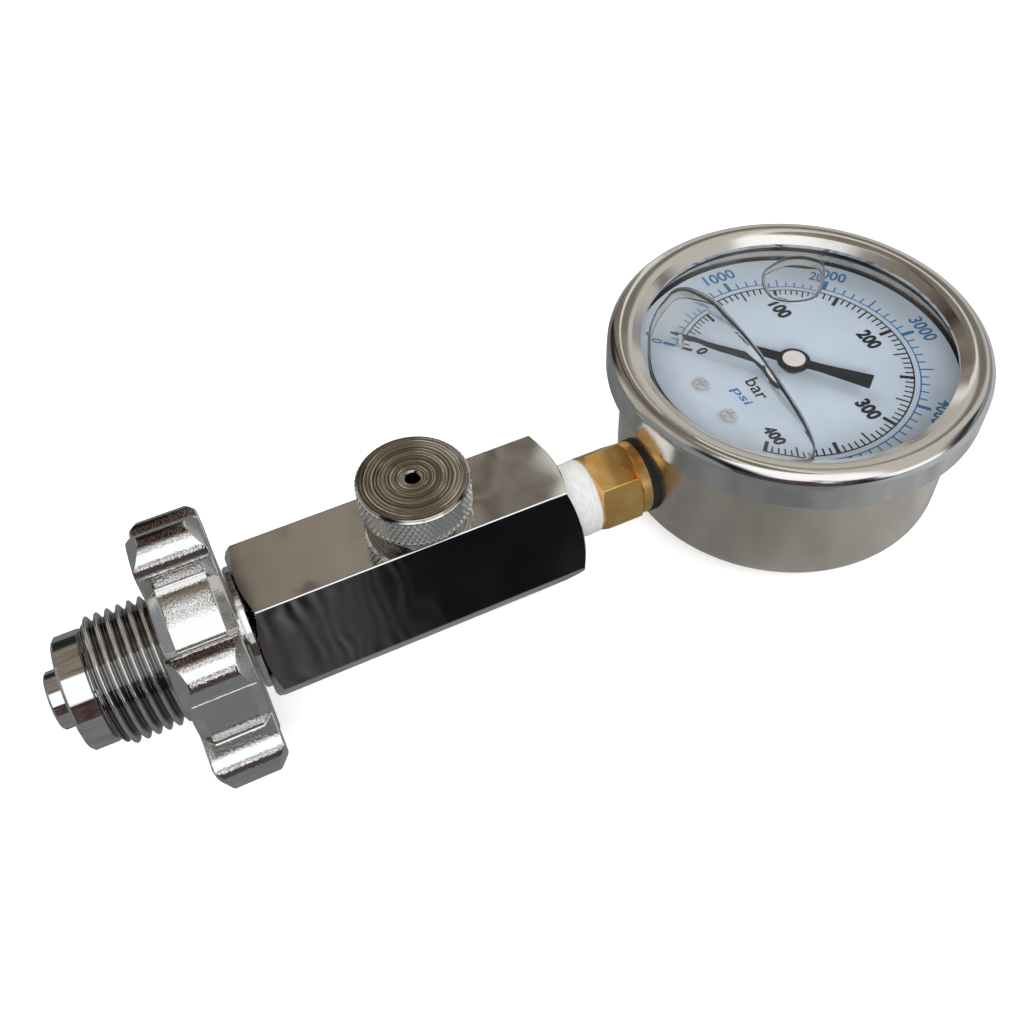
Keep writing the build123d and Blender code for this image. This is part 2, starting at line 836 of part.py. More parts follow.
def make_pointer():
    """Black pointer with a slim blade and a broad tail."""
    tail = pointer_tail
    side = [(pointer_r, 0.08), (pointer_r * 0.9, blade_half), (pointer_r * 0.3, 0.95),
            (1.8, 1.1), (-1.8, 1.0), (-tail * 0.35, 0.95), (-tail, 1.7)]
    outline = side + [(x, -y) for x, y in side[::-1]]
    body = plate(outline, pointer_z, pointer_z + pointer_thickness)
    body += post(boss_r, pointer_z, pointer_z + pointer_thickness)
    body -= post(1.2, pointer_z - 1, pointer_z + 2)
    return on_gauge(Rotation(0, 0, pointer_rest) * body)


def make_hub():
    """Bright hub that clamps the pointer on its arbor."""
    top = pointer_z + pointer_thickness
    low = pointer_z - hub_depth
    points = [(arbor_r, low), (1.2, low), (1.2, top), (hub_d / 2, top), (hub_d / 2, top + 0.35),
              (hub_d / 2 - 0.3, top + 0.6), (0.6, top + 0.6), (0.5, top + 0.85), (0, top + 0.85),
              (0, pointer_z), (arbor_r, pointer_z)]
    return turned_z(points, gauge_x)


pieces = {
    "din_stem": make_din_stem,
    "nose_o_ring": make_nose_seal,
    "stem_o_ring": make_stem_seal,
    "threaded_sleeve": make_sleeve,
    "handwheel": make_handwheel,
    "wheel_washer": make_washer,
    "hex_body": make_hex_body,
    "bleed_knob": make_bleed_knob,
    "bleed_pellet": make_bleed_pellet,
    "bleed_o_ring": make_bleed_seal,
    "sealing_tape": make_tape,
    "gauge_socket": make_socket,
    "socket_gasket": make_socket_gasket,
    "pressure_tube": make_tube,
    "tube_tip": make_tube_tip,
    "gauge_case": make_case,
    "filling_plug": make_plug,
    "bezel_ring": make_bezel,
    "window": make_window,
    "window_gasket": make_window_gasket,
    "dial": make_dial,
    "dial_screws": make_dial_screws,
    "stop_pin": make_stop_pin,
    "movement_back_plate": make_back_plate,
    "movement_front_plate": make_front_plate,
    "movement_pillars": make_pillars,
    "movement_screws": make_movement_screws,
    "pinion_arbor": make_pinion,
    "sector_gear": make_sector,
    "sector_arbor": make_sector_arbor,
    "link": make_link,
    "link_pins": make_link_pins,
    "hairspring": make_hairspring,
    "pointer": make_pointer,
    "pointer_hub": make_hub,
}

for name, make in pieces.items():
    export_step(make(), "parts/" + name + ".step")
    print(name)
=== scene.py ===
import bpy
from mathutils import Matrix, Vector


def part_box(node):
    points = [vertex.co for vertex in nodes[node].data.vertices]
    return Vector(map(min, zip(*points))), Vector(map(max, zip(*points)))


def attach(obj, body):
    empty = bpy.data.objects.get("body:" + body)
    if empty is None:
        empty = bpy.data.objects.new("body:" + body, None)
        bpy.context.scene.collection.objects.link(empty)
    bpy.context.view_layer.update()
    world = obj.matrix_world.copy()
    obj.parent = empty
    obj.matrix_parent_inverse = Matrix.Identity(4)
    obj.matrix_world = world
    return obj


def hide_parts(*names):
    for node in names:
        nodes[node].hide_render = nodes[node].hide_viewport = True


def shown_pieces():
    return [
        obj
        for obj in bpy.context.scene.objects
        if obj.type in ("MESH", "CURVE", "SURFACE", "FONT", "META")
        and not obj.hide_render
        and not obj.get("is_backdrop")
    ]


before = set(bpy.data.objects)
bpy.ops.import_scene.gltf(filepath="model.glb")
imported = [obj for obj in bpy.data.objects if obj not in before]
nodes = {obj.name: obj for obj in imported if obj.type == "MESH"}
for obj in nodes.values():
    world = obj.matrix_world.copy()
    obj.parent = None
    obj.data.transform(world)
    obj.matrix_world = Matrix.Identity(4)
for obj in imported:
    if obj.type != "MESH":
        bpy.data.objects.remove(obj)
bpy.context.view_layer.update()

# %% Tools used all the way through
import math
import bpy
import bmesh
import numpy as np
from mathutils import Matrix, Vector

MM = 0.001


def span(node, axis):
    """Lowest and highest coordinate of a node along one axis, in millimetres."""
    low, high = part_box(node)
    return low["xyz".index(axis)] / MM, high["xyz".index(axis)] / MM


def placed(name, data):
    """New object with this data, linked to the scene."""
    made = bpy.data.objects.new(name, data)
    bpy.context.scene.collection.objects.link(made)
    return made


dial_x = sum(span("window", "x")) / 2
knob_x = sum(span("bleed_knob", "x")) / 2
print("gauge axis at x =", round(dial_x, 3), "knob axis at x =", round(knob_x, 3))

# %% [markdown]
# ## The camera
# The photograph was taken from above the front, with the stem running up to the right. The
# camera could be aimed by eye, but its place comes from a fit to some forty measured edges, so
# it is written as the place of the lens and three angles: round the object, above it, and the
# roll about the line of sight.
# %% Camera
lens_place = (26.04, -114.81, 157.99)
turn, lift, roll = (math.radians(a) for a in (-22.769, 51.156, -2.999))
back = Vector((math.sin(turn) * math.cos(lift), -math.cos(turn) * math.cos(lift), math.sin(lift)))
level = Vector((math.cos(turn), math.sin(turn), 0))
upward = back.cross(level)
right = level * math.cos(roll) + upward * math.sin(roll)
above = upward * math.cos(roll) - level * math.sin(roll)

camera_data = bpy.data.cameras.new("camera")
camera_data.lens, camera_data.sensor_width = 38.66, 36.0
camera_data.clip_start = 0.01
camera = placed("camera", camera_data)
camera.matrix_world = Matrix.Translation(Vector(lens_place) * MM) @ Matrix(
    (right, above, back)).transposed().to_4x4()
bpy.context.scene.camera = camera
print("camera at", [round(v, 4) for v in camera.location])

# %% [markdown]
# ## Surfaces from grids
# Nearly every piece here is a surface of two parameters: how far along a profile, and how far
# round an axis or an outline. numpy works out all the points of such a grid at once, and the
# quads between them follow from their row and column numbers. Seams and poles are closed by
# merging points that fall together, and the sign of the volume tells which way is out.


# %% Grid and mesh helpers
def grid_faces(rows, columns, round_rows=False, round_columns=False):
    """Quads between neighbours of a grid numbered row by row; a round side joins its ends."""
    i, j = np.meshgrid(np.arange(rows - (not round_rows)), np.arange(columns - (not round_columns)),
                       indexing="ij")
    i, j = i.ravel(), j.ravel()
    k, l = (i + 1) % rows, (j + 1) % columns
    return np.stack([i * columns + j, i * columns + l, k * columns + l, k * columns + j], 1)


def closed_mesh(name, points, faces, crease=35.0):
    """Mesh from points in millimetres: doubles merged, outside out, sharp over the crease angle."""
    mesh = bpy.data.meshes.new(name)
    faces = faces if isinstance(faces, list) else faces.tolist()
    mesh.from_pydata((points.reshape(-1, 3) * MM).tolist(), [], faces)
    work = bmesh.new()
    work.from_mesh(mesh)
    bmesh.ops.remove_doubles(work, verts=work.verts, dist=1e-6)
    if work.calc_volume(signed=True) < 0:
        bmesh.ops.reverse_faces(work, faces=work.faces)
    open_edges = sum(len(edge.link_faces) != 2 for edge in work.edges)
    work.to_mesh(mesh)
    work.free()
    mesh.shade_smooth()
    mesh.set_sharp_from_angle(angle=math.radians(crease))
    print(name, len(mesh.polygons), "faces,", open_edges, "open edges")
    return mesh


def add_piece(name, mesh, body, slot, material, *replaced):
    """Object from a finished mesh, riding on a body and standing for the nodes it replaces."""
    piece = placed(name, mesh)
    mesh.materials.append(material)
    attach(piece, body)
    if replaced:
        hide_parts(*replaced)


print("meshes can be made")


# %% Profiles
def rounded(corners, steps=4):
    """Profile through (along, radius, rounding) corners, each rounded one drawn as an arc.

    The arc starts and ends where a circle of that radius touches both sides of the corner."""
    path = []
    for k, (x, y, size) in enumerate(corners):
        here = np.array((x, y), float)
        if not size:
            path.append(here)
            continue
        to_last = np.array(corners[k - 1][:2]) - here
        to_next = np.array(corners[(k + 1) % len(corners)][:2]) - here
        to_last, to_next = to_last / np.linalg.norm(to_last), to_next / np.linalg.norm(to_next)
        half = math.acos(np.clip(to_last @ to_next, -1, 1)) / 2
        middle = (to_last + to_next) / np.linalg.norm(to_last + to_next) * size / math.sin(half)
        first = to_last * size / math.tan(half) - middle
        last = to_next * size / math.tan(half) - middle
        swing = math.atan2(first[0] * last[1] - first[1] * last[0], first @ last)
        angles = np.linspace(0, swing, steps)[:, None]
        path.extend(here + middle + first * np.cos(angles)
                    + np.array((-first[1], first[0])) * np.sin(angles))
    return np.array(path)


def turned(profile, columns, axis="x", centre=0.0):
    """Points of a profile of (along, radius) rows carried round the X axis or a line along Z."""
    angle = np.linspace(0, 2 * np.pi, columns, endpoint=False)[None]
    along, radius = profile[:, :1], profile[:, 1:]
    flat = (radius * np.cos(angle), radius * np.sin(angle))
    along = along + 0 * angle
    if axis == "x":
        return np.stack([along, *flat], -1)
    return np.stack([flat[0] + centre, flat[1], along], -1)


print("profiles can be rounded and turned")

# %% [markdown]
# ## Finishes
# A finish is a Principled shader whose roughness, colour and relief change a little over the
# surface, because a perfectly even one looks like a computer's. All patterns read Object
# coordinates, so a finish stays on its piece when the piece moves. Each helper below adds one
# kind of change: clouds from a noise, or lines that run round an axis as a lathe leaves them.


# %% Materials and their nodes
def shader_of(material):
    return material.node_tree.nodes["Principled BSDF"]


def finish(name, colour, rough, metal=1.0, **sockets):
    """New material with a Principled shader and its constant values."""
    material = bpy.data.materials.new(name)
    material.use_nodes = True
    shader = shader_of(material)
    shader.inputs["Base Color"].default_value = (*colour, 1)
    shader.inputs["Roughness"].default_value = rough
    shader.inputs["Metallic"].default_value = metal
    for key, value in sockets.items():
        shader.inputs[key.replace("_", " ")].default_value = value
    return material


def feed(material, socket, value):
    """Sets an input to a constant, or links it to the output of another node."""
    if isinstance(value, bpy.types.NodeSocket):
        material.node_tree.links.new(value, socket)
    else:
        socket.default_value = value


def node(material, kind, settings=(), **inputs):
    """Adds a node, sets its properties or inputs by number, and feeds its other named inputs."""
    made = material.node_tree.nodes.new("ShaderNode" + kind)
    for key, value in dict(settings).items():
        if isinstance(key, str) and hasattr(made, key):
            setattr(made, key, value)
        else:
            feed(material, made.inputs[key], value)
    for key, value in inputs.items():
        place = int(key[1:]) if key[1:].isdigit() else key.replace("_", " ")
        feed(material, made.inputs[place], value)
    return made


def ray(material, kind):
    return node(material, "LightPath").outputs[kind]


def either(material, share, first, second):
    """Shader that is the first one at a share of 0 and the second one at 1."""
    return node(material, "MixShader", _0=share, _1=first, _2=second).outputs[0]


def ends_in(material, shader, output="Material Output"):
    feed(material, material.node_tree.nodes[output].inputs["Surface"], shader)


def dress(material, *names):
    """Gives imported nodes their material."""
    for name in names:
        nodes[name].data.materials[0] = material


print("materials can be made")


# %% Numbers and patterns
def calc(material, operation, *values):
    """Result of a Math node; each value is a number or a socket."""
    return node(material, "Math", {"operation": operation, **dict(enumerate(values))}).outputs[0]


def product(material, one, other):
    return calc(material, "MULTIPLY", one, other)


def ranged(material, value, first, last, low=0.0, high=1.0):
    """Maps the range first to last of a value onto low to high, held at both ends."""
    return node(material, "MapRange", dict(enumerate((value, first, last, low, high)))).outputs[0]


def between(material, value, low, high):
    """Maps a pattern between 0.3 and 0.7 onto the range low to high."""
    return ranged(material, value, 0.3, 0.7, low, high)


def coordinate(material, axis):
    """One Object coordinate, in metres."""
    place = node(material, "TexCoord").outputs["Object"]
    return node(material, "SeparateXYZ", _0=place).outputs["xyz".index(axis)]


def distance_from(material, x, along_z):
    """Distance in millimetres from the X axis, or from a line along Z at the station x."""
    place = node(material, "TexCoord").outputs["Object"]
    mask = (1 / MM, 1 / MM, 0) if along_z else (0, 1 / MM, 1 / MM)
    moved = node(material, "Mapping", Scale=mask, Location=(-x, 0, 0), Vector=place)
    return node(material, "VectorMath", {"operation": "LENGTH"}, _0=moved.outputs[0]).outputs["Value"]


def clouds(material, size, detail=3.0, stretch=(1, 1, 1), distortion=0.0):
    """Noise in Object coordinates: lumps of about this size in millimetres, stretched by axis."""
    place = node(material, "TexCoord").outputs["Object"]
    scale = [1 / (size * MM * s) for s in stretch]
    moved = node(material, "Mapping", Scale=scale, Vector=place)
    noise = node(material, "TexNoise", Scale=1.0, Detail=detail, Distortion=distortion,
                 Vector=moved.outputs[0])
    return noise.outputs["Fac"]


def lathe_lines(material, radius, spacing, unevenness=0.35):
    """Wave of the distance from an axis, blurred a little by noise, as a turned face shows."""
    wobble = product(material, clouds(material, 4 * spacing), unevenness * spacing)
    phase = product(material, calc(material, "ADD", radius, wobble), 2 * math.pi / spacing)
    return ranged(material, calc(material, "SINE", phase), -1.0, 1.0, 0.3, 0.7)


def uneven_rings(material, radius, size):
    """Noise of the distance from an axis, with a slow change round it: rings of uneven depth."""
    place = node(material, "CombineXYZ", _0=product(material, radius, 1 / size),
                 _1=clouds(material, 25 * size, 1.0))
    return node(material, "TexNoise", Scale=1.0, Detail=2.0, Vector=place.outputs[0]).outputs["Fac"]


print("patterns can be made")


# %% What a pattern changes
def blend(material, share, low, high):
    """Colour that runs from low to high with a share of 0 to 1; each is a triple or a socket."""
    low, high = ((*c, 1) if isinstance(c, tuple) else c for c in (low, high))
    return node(material, "Mix", {"data_type": "RGBA"}, _0=share, _6=low, _7=high).outputs[2]


def two_tone(material, value, dark, light):
    """Colour that runs from dark to light with a pattern."""
    ramp = node(material, "ValToRGB", _0=value)
    for stop, position, colour in zip(ramp.color_ramp.elements, (0.35, 0.65), (dark, light)):
        stop.position, stop.color = position, (*colour, 1)
    return ramp.outputs[0]


def coloured_by(material, socket):
    feed(material, shader_of(material).inputs["Base Color"], socket)


def mottled(material, value, dark, light):
    """Base colour that runs from dark to light with a pattern."""
    coloured_by(material, two_tone(material, value, dark, light))


def rough_by(material, value, low, high):
    """Roughness that runs between two levels with a pattern."""
    feed(material, shader_of(material).inputs["Roughness"], between(material, value, low, high))


def relief(material, value, height):
    """Bump whose full height is given in millimetres; a second call adds to the first."""
    target = shader_of(material).inputs["Normal"]
    bump = node(material, "Bump", {"Distance": height * MM}, Height=value)
    if target.is_linked:
        feed(material, bump.inputs["Normal"], target.links[0].from_socket)
    feed(material, target, bump.outputs[0])


print("finish helpers ready")

# %% [markdown]
# ## Bright chrome
# The stem, the body, the wheel and the knob are plated brass: polished, then chromed. Polished
# plating still waves slightly, which bends straight reflections. The wheel is cast, so under
# the same plating it has a fine grain. The roots of the thread are painted darker, as painted
# shade in the hollows, and the knob's face keeps the tool's rings: painted lines would need a
# picture, but a distance from an axis gives both tones directly.
# %% Chrome finishes
chrome_colour = (0.86, 0.85, 0.83)
knob_low, knob_top = span("bleed_knob", "z")
crest_r = span("threaded_sleeve", "z")[1]


def chrome(name, wave, grain=None, high=0.09):
    """Plated metal: long soft waves, gloss that clouds over a little, and grain where it is cast."""
    made = finish(name, chrome_colour, 0.03)
    rough_by(made, clouds(made, 9, 4), 0.03, high)
    relief(made, clouds(made, 14, 1.0), wave)
    if grain:
        relief(made, clouds(made, grain[0], 2.0), grain[1])
    return made


polished = chrome("polished_chrome", 0.12)
cast = chrome("cast_chrome", 0.05, grain=(0.38, 0.029), high=0.08)
turned_chrome = chrome("turned_chrome", 0.004)
from_knob = distance_from(turned_chrome, knob_x, True)
cut_rings = uneven_rings(turned_chrome, from_knob, 0.3)
relief(turned_chrome, lathe_lines(turned_chrome, from_knob, 0.62), 0.03)
relief(turned_chrome, cut_rings, 0.09)
rings_colour = two_tone(turned_chrome, cut_rings, (0.24, 0.21, 0.165), (0.74, 0.69, 0.60))
on_face = ranged(turned_chrome, coordinate(turned_chrome, "z"),
                 (knob_top - 0.3) * MM, (knob_top - 0.2) * MM)
coloured_by(turned_chrome, blend(turned_chrome, on_face, chrome_colour, rings_colour))
threaded = chrome("threaded_chrome", 0.02, grain=(0.6, 0.008))
# The roots are painted darker than the crests: painted shade in the thread's hollows.
painted_root_shade = ranged(threaded, distance_from(threaded, 0.0, False), crest_r - 0.95, crest_r - 0.35)
coloured_by(threaded, blend(threaded, painted_root_shade, (0.26, 0.25, 0.24), chrome_colour))
dress(polished, "din_stem", "wheel_washer", "hex_body")
print("chrome on stem, washer and body")

# %% [markdown]
# ## The screw thread
# The connector screws into the cylinder's valve with a pipe thread: 55 degree flanks, round
# crests and round roots, fourteen turns to the inch. A screw modifier could sweep one tooth,
# but it would leave both ends open. Here one grid is wound along the helix instead: a row keeps
# its place on the tooth, a column its angle, and points past an end are held back to it, where
# the chamfer is already deeper than the thread and closes the surface.
# %% Thread sizes
sleeve_start, sleeve_end = span("threaded_sleeve", "x")
wheel_start, wheel_end = span("handwheel", "x")
lead = 1.814
bore_r, counterbore_r = 6.56, 9.45
front_chamfer, back_chamfer = 1.43, 1.3
print("thread from", round(sleeve_start, 2), "to", round(wheel_start, 2), "crest", round(crest_r, 3))


# %% Threaded sleeve
def tooth_height(turns):
    """Height below the crest of a 55 degree thread, for a place counted in turns.

    Within 0.1218 of a pitch of the crest it is an arc of 0.1373 pitch, near the root the same
    arc turned over, and a straight flank rises 1.921 mm per millimetre between them."""
    from_crest = np.abs((turns + 0.5) % 1 - 0.5)
    arc = lambda d: 0.1373 - np.sqrt(0.1373 ** 2 - np.minimum(d, 0.1218) ** 2)
    flank = 0.0739 + (from_crest - 0.1218) * 1.921
    root = 0.6403 - arc(0.5 - from_crest)
    drop = np.where(from_crest < 0.1218, arc(from_crest), np.where(from_crest > 0.3782, root, flank))
    return -drop * lead


columns = 144
stops = np.array([0, 0.07, 0.1218, 0.2, 0.3, 0.3782, 0.43])
stops = np.concatenate([stops, [0.5], 1 - stops[:0:-1]])
run = wheel_start - sleeve_start
turns = (np.arange(-1, math.ceil(run / lead) + 1)[:, None] + stops[None]).ravel()
share = np.linspace(0, 1, columns + 1)[None]
angle = 2 * np.pi * share
station = np.clip(sleeve_start + lead * (turns[:, None] + share), sleeve_start, wheel_start)
front_slope = crest_r - front_chamfer + (station - sleeve_start) * 1.3
relief_slope = crest_r - back_chamfer + (wheel_start - station) * 1.2
tooth_r = crest_r + tooth_height(turns + 0.5)[:, None]
thread_r = np.minimum(tooth_r, np.minimum(front_slope, relief_slope))
thread = np.stack([station, thread_r * np.cos(angle), thread_r * np.sin(angle)], -1)
thread_faces = grid_faces(len(turns), columns + 1)

inside = rounded([(wheel_start, crest_r - back_chamfer, 0), (wheel_start, counterbore_r, 0),
                  (sleeve_end, counterbore_r, 0.3), (sleeve_end, bore_r, 0.2),
                  (sleeve_start, bore_r, 0.25), (sleeve_start, crest_r - front_chamfer, 0)])
lining = turned(inside, columns).reshape(-1, 3)
thread = thread.reshape(-1, 3)
lining_faces = grid_faces(len(inside), columns, round_columns=True) + len(thread)
sleeve_mesh = closed_mesh("threaded_sleeve_piece", np.vstack([thread, lining]),
                          np.vstack([thread_faces, lining_faces]))
add_piece("threaded_sleeve_piece", sleeve_mesh, "wheel", "chrome", threaded, "threaded_sleeve")

# %% [markdown]
# ## The cast handwheel
# The diver turns the connector in by a wheel with six round lobes. It could be cut from
# cylinders with booleans, but then its roots and bevels would meet in hard lines that a casting
# never has. Instead an outline is worked out for every depth below the wheel's faces: the bevel
# makes the drum smaller there, the lobes keep their width, and a cone turned over the tips
# after casting holds them down. The outlines are joined into one surface.
# %% Wheel sizes
lobes, lobe_r, drum_r, tip_r = 6, 4.4, 18.3, 25.0
lobe_middle = tip_r - lobe_r
drum_bevel, tip_bevel, tip_slope, corner_softness = 1.9, 2.15, 1.17, 0.012
flank_taper, root_fillet, edge_round = math.radians(8.0), 0.5, 0.3
first_lobe = math.radians(42.0)
thickness = wheel_end - wheel_start
print("wheel", round(thickness, 2), "mm thick, tips at", tip_r)


# %% Wheel outline
def half_lobe(depth):
    """Radius and angle from the middle of a lobe to the middle of the drum, a row per depth.

    An edge round takes r - sqrt(r^2 - (r - depth)^2) off near a face, and a bevel of slope one
    has its corner softened as a hyperbola. On the tip, the cone's radius holds as far as the
    lobe's circle lies outside it, up to the angle that the cosine rule gives. The flank leaves
    the circle at the taper's angle. The fillet's centre lies one fillet radius off the flank
    and off the drum, so its place along the flank is the root of a quadratic."""
    soft = lambda v: (v + np.sqrt(v ** 2 + corner_softness)) / 2
    missing = edge_round - np.minimum(depth, edge_round)
    cut = edge_round - np.sqrt(edge_round ** 2 - missing ** 2)
    drum = drum_r - soft(drum_bevel - depth) - cut
    cone = tip_r - tip_slope * soft(tip_bevel - depth) - cut
    circle = lobe_r - cut
    last = np.pi / 2 + flank_taper
    reach = np.clip((cone ** 2 - lobe_middle ** 2 - circle ** 2) / (2 * lobe_middle * circle), 0, 1)
    first = np.arccos(reach)
    on_cone = first * np.linspace(0, 1, 11)
    on_circle = first + (last - first) * np.linspace(0, 1, 20)[1:]
    x, y = lobe_middle + circle * np.cos(on_cone), circle * np.sin(on_cone)
    shrink = cone / np.hypot(x, y)
    x, y = x * shrink, y * shrink
    inward = -math.cos(flank_taper), -math.sin(flank_taper)
    outward = math.cos(last), math.sin(last)
    from_x = lobe_middle + circle * math.cos(last) + root_fillet * outward[0]
    from_y = circle * math.sin(last) + root_fillet * outward[1]
    along = from_x * inward[0] + from_y * inward[1]
    slide = -along - np.sqrt(along ** 2 - from_x ** 2 - from_y ** 2 + (drum + root_fillet) ** 2)
    fillet_x, fillet_y = from_x + inward[0] * slide, from_y + inward[1] * slide
    meet = np.arctan2(fillet_y, fillet_x)
    bend = (last - np.pi) + (meet - last) * np.linspace(0, 1, 9)
    drum_angle = meet + (np.pi / lobes - meet) * np.linspace(0, 1, 14)[1:]
    x = np.concatenate([x, lobe_middle + circle * np.cos(on_circle),
                        fillet_x + root_fillet * np.cos(bend), drum * np.cos(drum_angle)], 1)
    y = np.concatenate([y, circle * np.sin(on_circle),
                        fillet_y + root_fillet * np.sin(bend), drum * np.sin(drum_angle)], 1)
    return np.hypot(x, y), np.arctan2(y, x)


near_face = np.array([0, 0.03, 0.11, 0.24, 0.4, 0.8, 1.2, 1.6, 1.75, 1.85, 1.95, 2.05, 2.15, 2.25,
                      2.4, 2.7, 3.4, 4.4])
station = np.concatenate([near_face, [thickness / 2], thickness - near_face[::-1]])
half_r, half_a = half_lobe(np.minimum(station, thickness - station)[:, None])
sixth = 2 * np.pi / lobes
sixth_r = np.concatenate([half_r, half_r[:, -2:0:-1]], 1)
sixth_a = np.concatenate([half_a, sixth - half_a[:, -2:0:-1]], 1)
turned_sixths = sixth_a[:, None] + sixth * np.arange(lobes)[None, :, None]
around = first_lobe + turned_sixths.reshape(len(station), -1)
wheel_r = np.tile(sixth_r, lobes)
print("outline of", around.shape[1], "points, radii", wheel_r.min().round(2), wheel_r.max().round(2))


# %% Handwheel
def carried_round(along, radius, angle):
    """Points at a station, a radius and an angle that runs from -Y towards +Z."""
    return np.stack([along + 0 * angle, -radius * np.cos(angle), radius * np.sin(angle)], -1)


stem_hole, sleeve_hole, lip, face_ring = 7.3, 9.455, 0.8, 12.0
side = carried_round(wheel_start + station[:, None], wheel_r, around)
bore = rounded([(wheel_end, face_ring, 0), (wheel_end, stem_hole, 0.2),
                (wheel_end - lip, stem_hole, 0), (wheel_end - lip, sleeve_hole, 0),
                (wheel_start, sleeve_hole, 0), (wheel_start, face_ring, 0)])
wheel_points = np.concatenate([side, carried_round(bore[:, :1], bore[:, 1:], around[:1])])
wheel_faces = grid_faces(len(wheel_points), around.shape[1], round_rows=True, round_columns=True)
wheel_mesh = closed_mesh("handwheel_piece", wheel_points, wheel_faces, 40)
add_piece("handwheel_piece", wheel_mesh, "wheel", "chrome", cast, "handwheel")

# %% [markdown]
# ## The bleed knob
# It is turned from bar, its rim knurled for wet fingers and its face left with the rings of the
# cutting tool. A knurl is a field of small pyramids: on a lattice of half steps every other
# crossing is a peak, and the quads are split along the valleys, which gives true pyramids with
# very few faces.
# %% Knob sizes
knob_r = (span("bleed_knob", "y")[1] - span("bleed_knob", "y")[0]) / 2
grip_low = knob_top - 6.2
knurls, knurl_rows, knurl_depth = 60, 6, 0.42
hole_r, hole_depth, screw_r, groove_r, neck_r = 1.25, 9.0, 4.0, 3.3, 6.0
print("knob from", round(grip_low, 2), "to", round(knob_top, 2), "radius", round(knob_r, 3))

# %% Knurled rim
columns = 2 * knurls
grip = np.linspace(grip_low + 0.35, knob_top - 0.55, knurl_rows + 1)
row, column = np.meshgrid(np.arange(knurl_rows + 1), np.arange(columns), indexing="ij")
peak = (row + column) % 2 == 0
angle = 2 * np.pi * column / columns
rim_r = np.where(peak, knob_r, knob_r - knurl_depth)
rim = np.stack([knob_x + rim_r * np.cos(angle), rim_r * np.sin(angle), grip[row]], -1)
quads = grid_faces(knurl_rows + 1, columns, round_columns=True)
level_row = np.repeat(np.arange(knurl_rows), columns)
even = (level_row + np.tile(np.arange(columns), knurl_rows)) % 2 == 0
triangles = np.vstack([quads[even][:, [0, 1, 3]], quads[even][:, [1, 2, 3]],
                       quads[~even][:, [0, 1, 2]], quads[~even][:, [0, 2, 3]]])

upper = rounded([(grip[-1], knob_r - 0.1, 0), (knob_top - 0.45, knob_r - 0.12, 0.1),
                 (knob_top, knob_r - 0.6, 0.12), (knob_top, hole_r + 0.25, 0.06),
                 (knob_top - 0.25, hole_r, 0.06), (knob_top - hole_depth, hole_r, 0),
                 (knob_top - hole_depth, 0.0, 0)])
flat_top = span("hex_body", "z")[1]
lower = rounded([(knob_low, 0.0, 0), (knob_low, screw_r - 0.5, 0), (knob_low + 0.5, screw_r, 0.1),
                 (flat_top - 2.2, screw_r, 0), (flat_top - 2.2, groove_r, 0),
                 (flat_top - 0.6, groove_r, 0), (flat_top - 0.6, screw_r, 0),
                 (flat_top + 0.3, screw_r, 0), (flat_top + 0.3, neck_r, 0.3),
                 (grip_low - 0.3, neck_r, 0.15), (grip_low - 0.3, knob_r - 0.55, 0.1),
                 (grip[0], knob_r - 0.1, 0)])
count = rim.size // 3
lower_count = count + len(upper) * columns
knob_points = np.vstack([part.reshape(-1, 3) for part in (
    rim, turned(upper, columns, "z", knob_x), turned(lower, columns, "z", knob_x))])
knob_quads = np.vstack([grid_faces(len(upper), columns, round_columns=True) + count,
                        grid_faces(len(lower), columns, round_columns=True) + lower_count])
print("knob profile of", len(upper) + len(lower), "rows")

# %% Knob piece
last_rim, first_rim = np.arange(columns) + knurl_rows * columns, np.arange(columns)
first_upper = np.arange(columns) + count
last_lower = np.arange(columns) + lower_count + (len(lower) - 1) * columns


def strip(a, b):
    """Quads between two rings of the same number of points."""
    return np.stack([a, np.roll(a, -1), np.roll(b, -1), b], 1)


knob_faces = (knob_quads.tolist() + strip(last_rim, first_upper).tolist()
              + strip(last_lower, first_rim).tolist() + triangles.tolist())
knob_mesh = closed_mesh("bleed_knob_piece", knob_points, knob_faces, 20)
add_piece("bleed_knob_piece", knob_mesh, "bleed_screw", "chrome", turned_chrome, "bleed_knob")

# %% [markdown]
# ## The sealing tape
# White tape is wound round the gauge's screwed end so that it seals. It could be a plain ring,
# but wound tape shows a step where each turn lies over the last and soft ripples across it. So
# the radius follows the winding: it climbs along one turn and drops at the tape's edge.
# %% Sealing tape
tape_start, tape_end = span("sealing_tape", "x")
tape_r = span("sealing_tape", "z")[1]
tape_bore, tape_turns, tape_step = 6.6, 3.0, 0.10
columns, rows = 120, 56
share, place = np.meshgrid(np.linspace(0, 1, columns, endpoint=False), np.linspace(0, 1, rows))


def wound(share, place):
    """Depth below the full radius: a saw tooth along the winding, plus two crossing ripples."""
    winding = (place * tape_turns + share) % 1
    step = tape_step * np.minimum(winding / 0.85, (1 - winding) / 0.15)
    ripple = (0.015 * np.sin(2 * np.pi * (5 * share + 2.3 * place))
              + 0.01 * np.sin(2 * np.pi * (11 * share - 4 * place)))
    ends = 0.35 * np.maximum(np.abs(place - 0.5) * 2 - 0.9, 0) / 0.1
    return 0.2 - step + np.abs(ripple) + ends


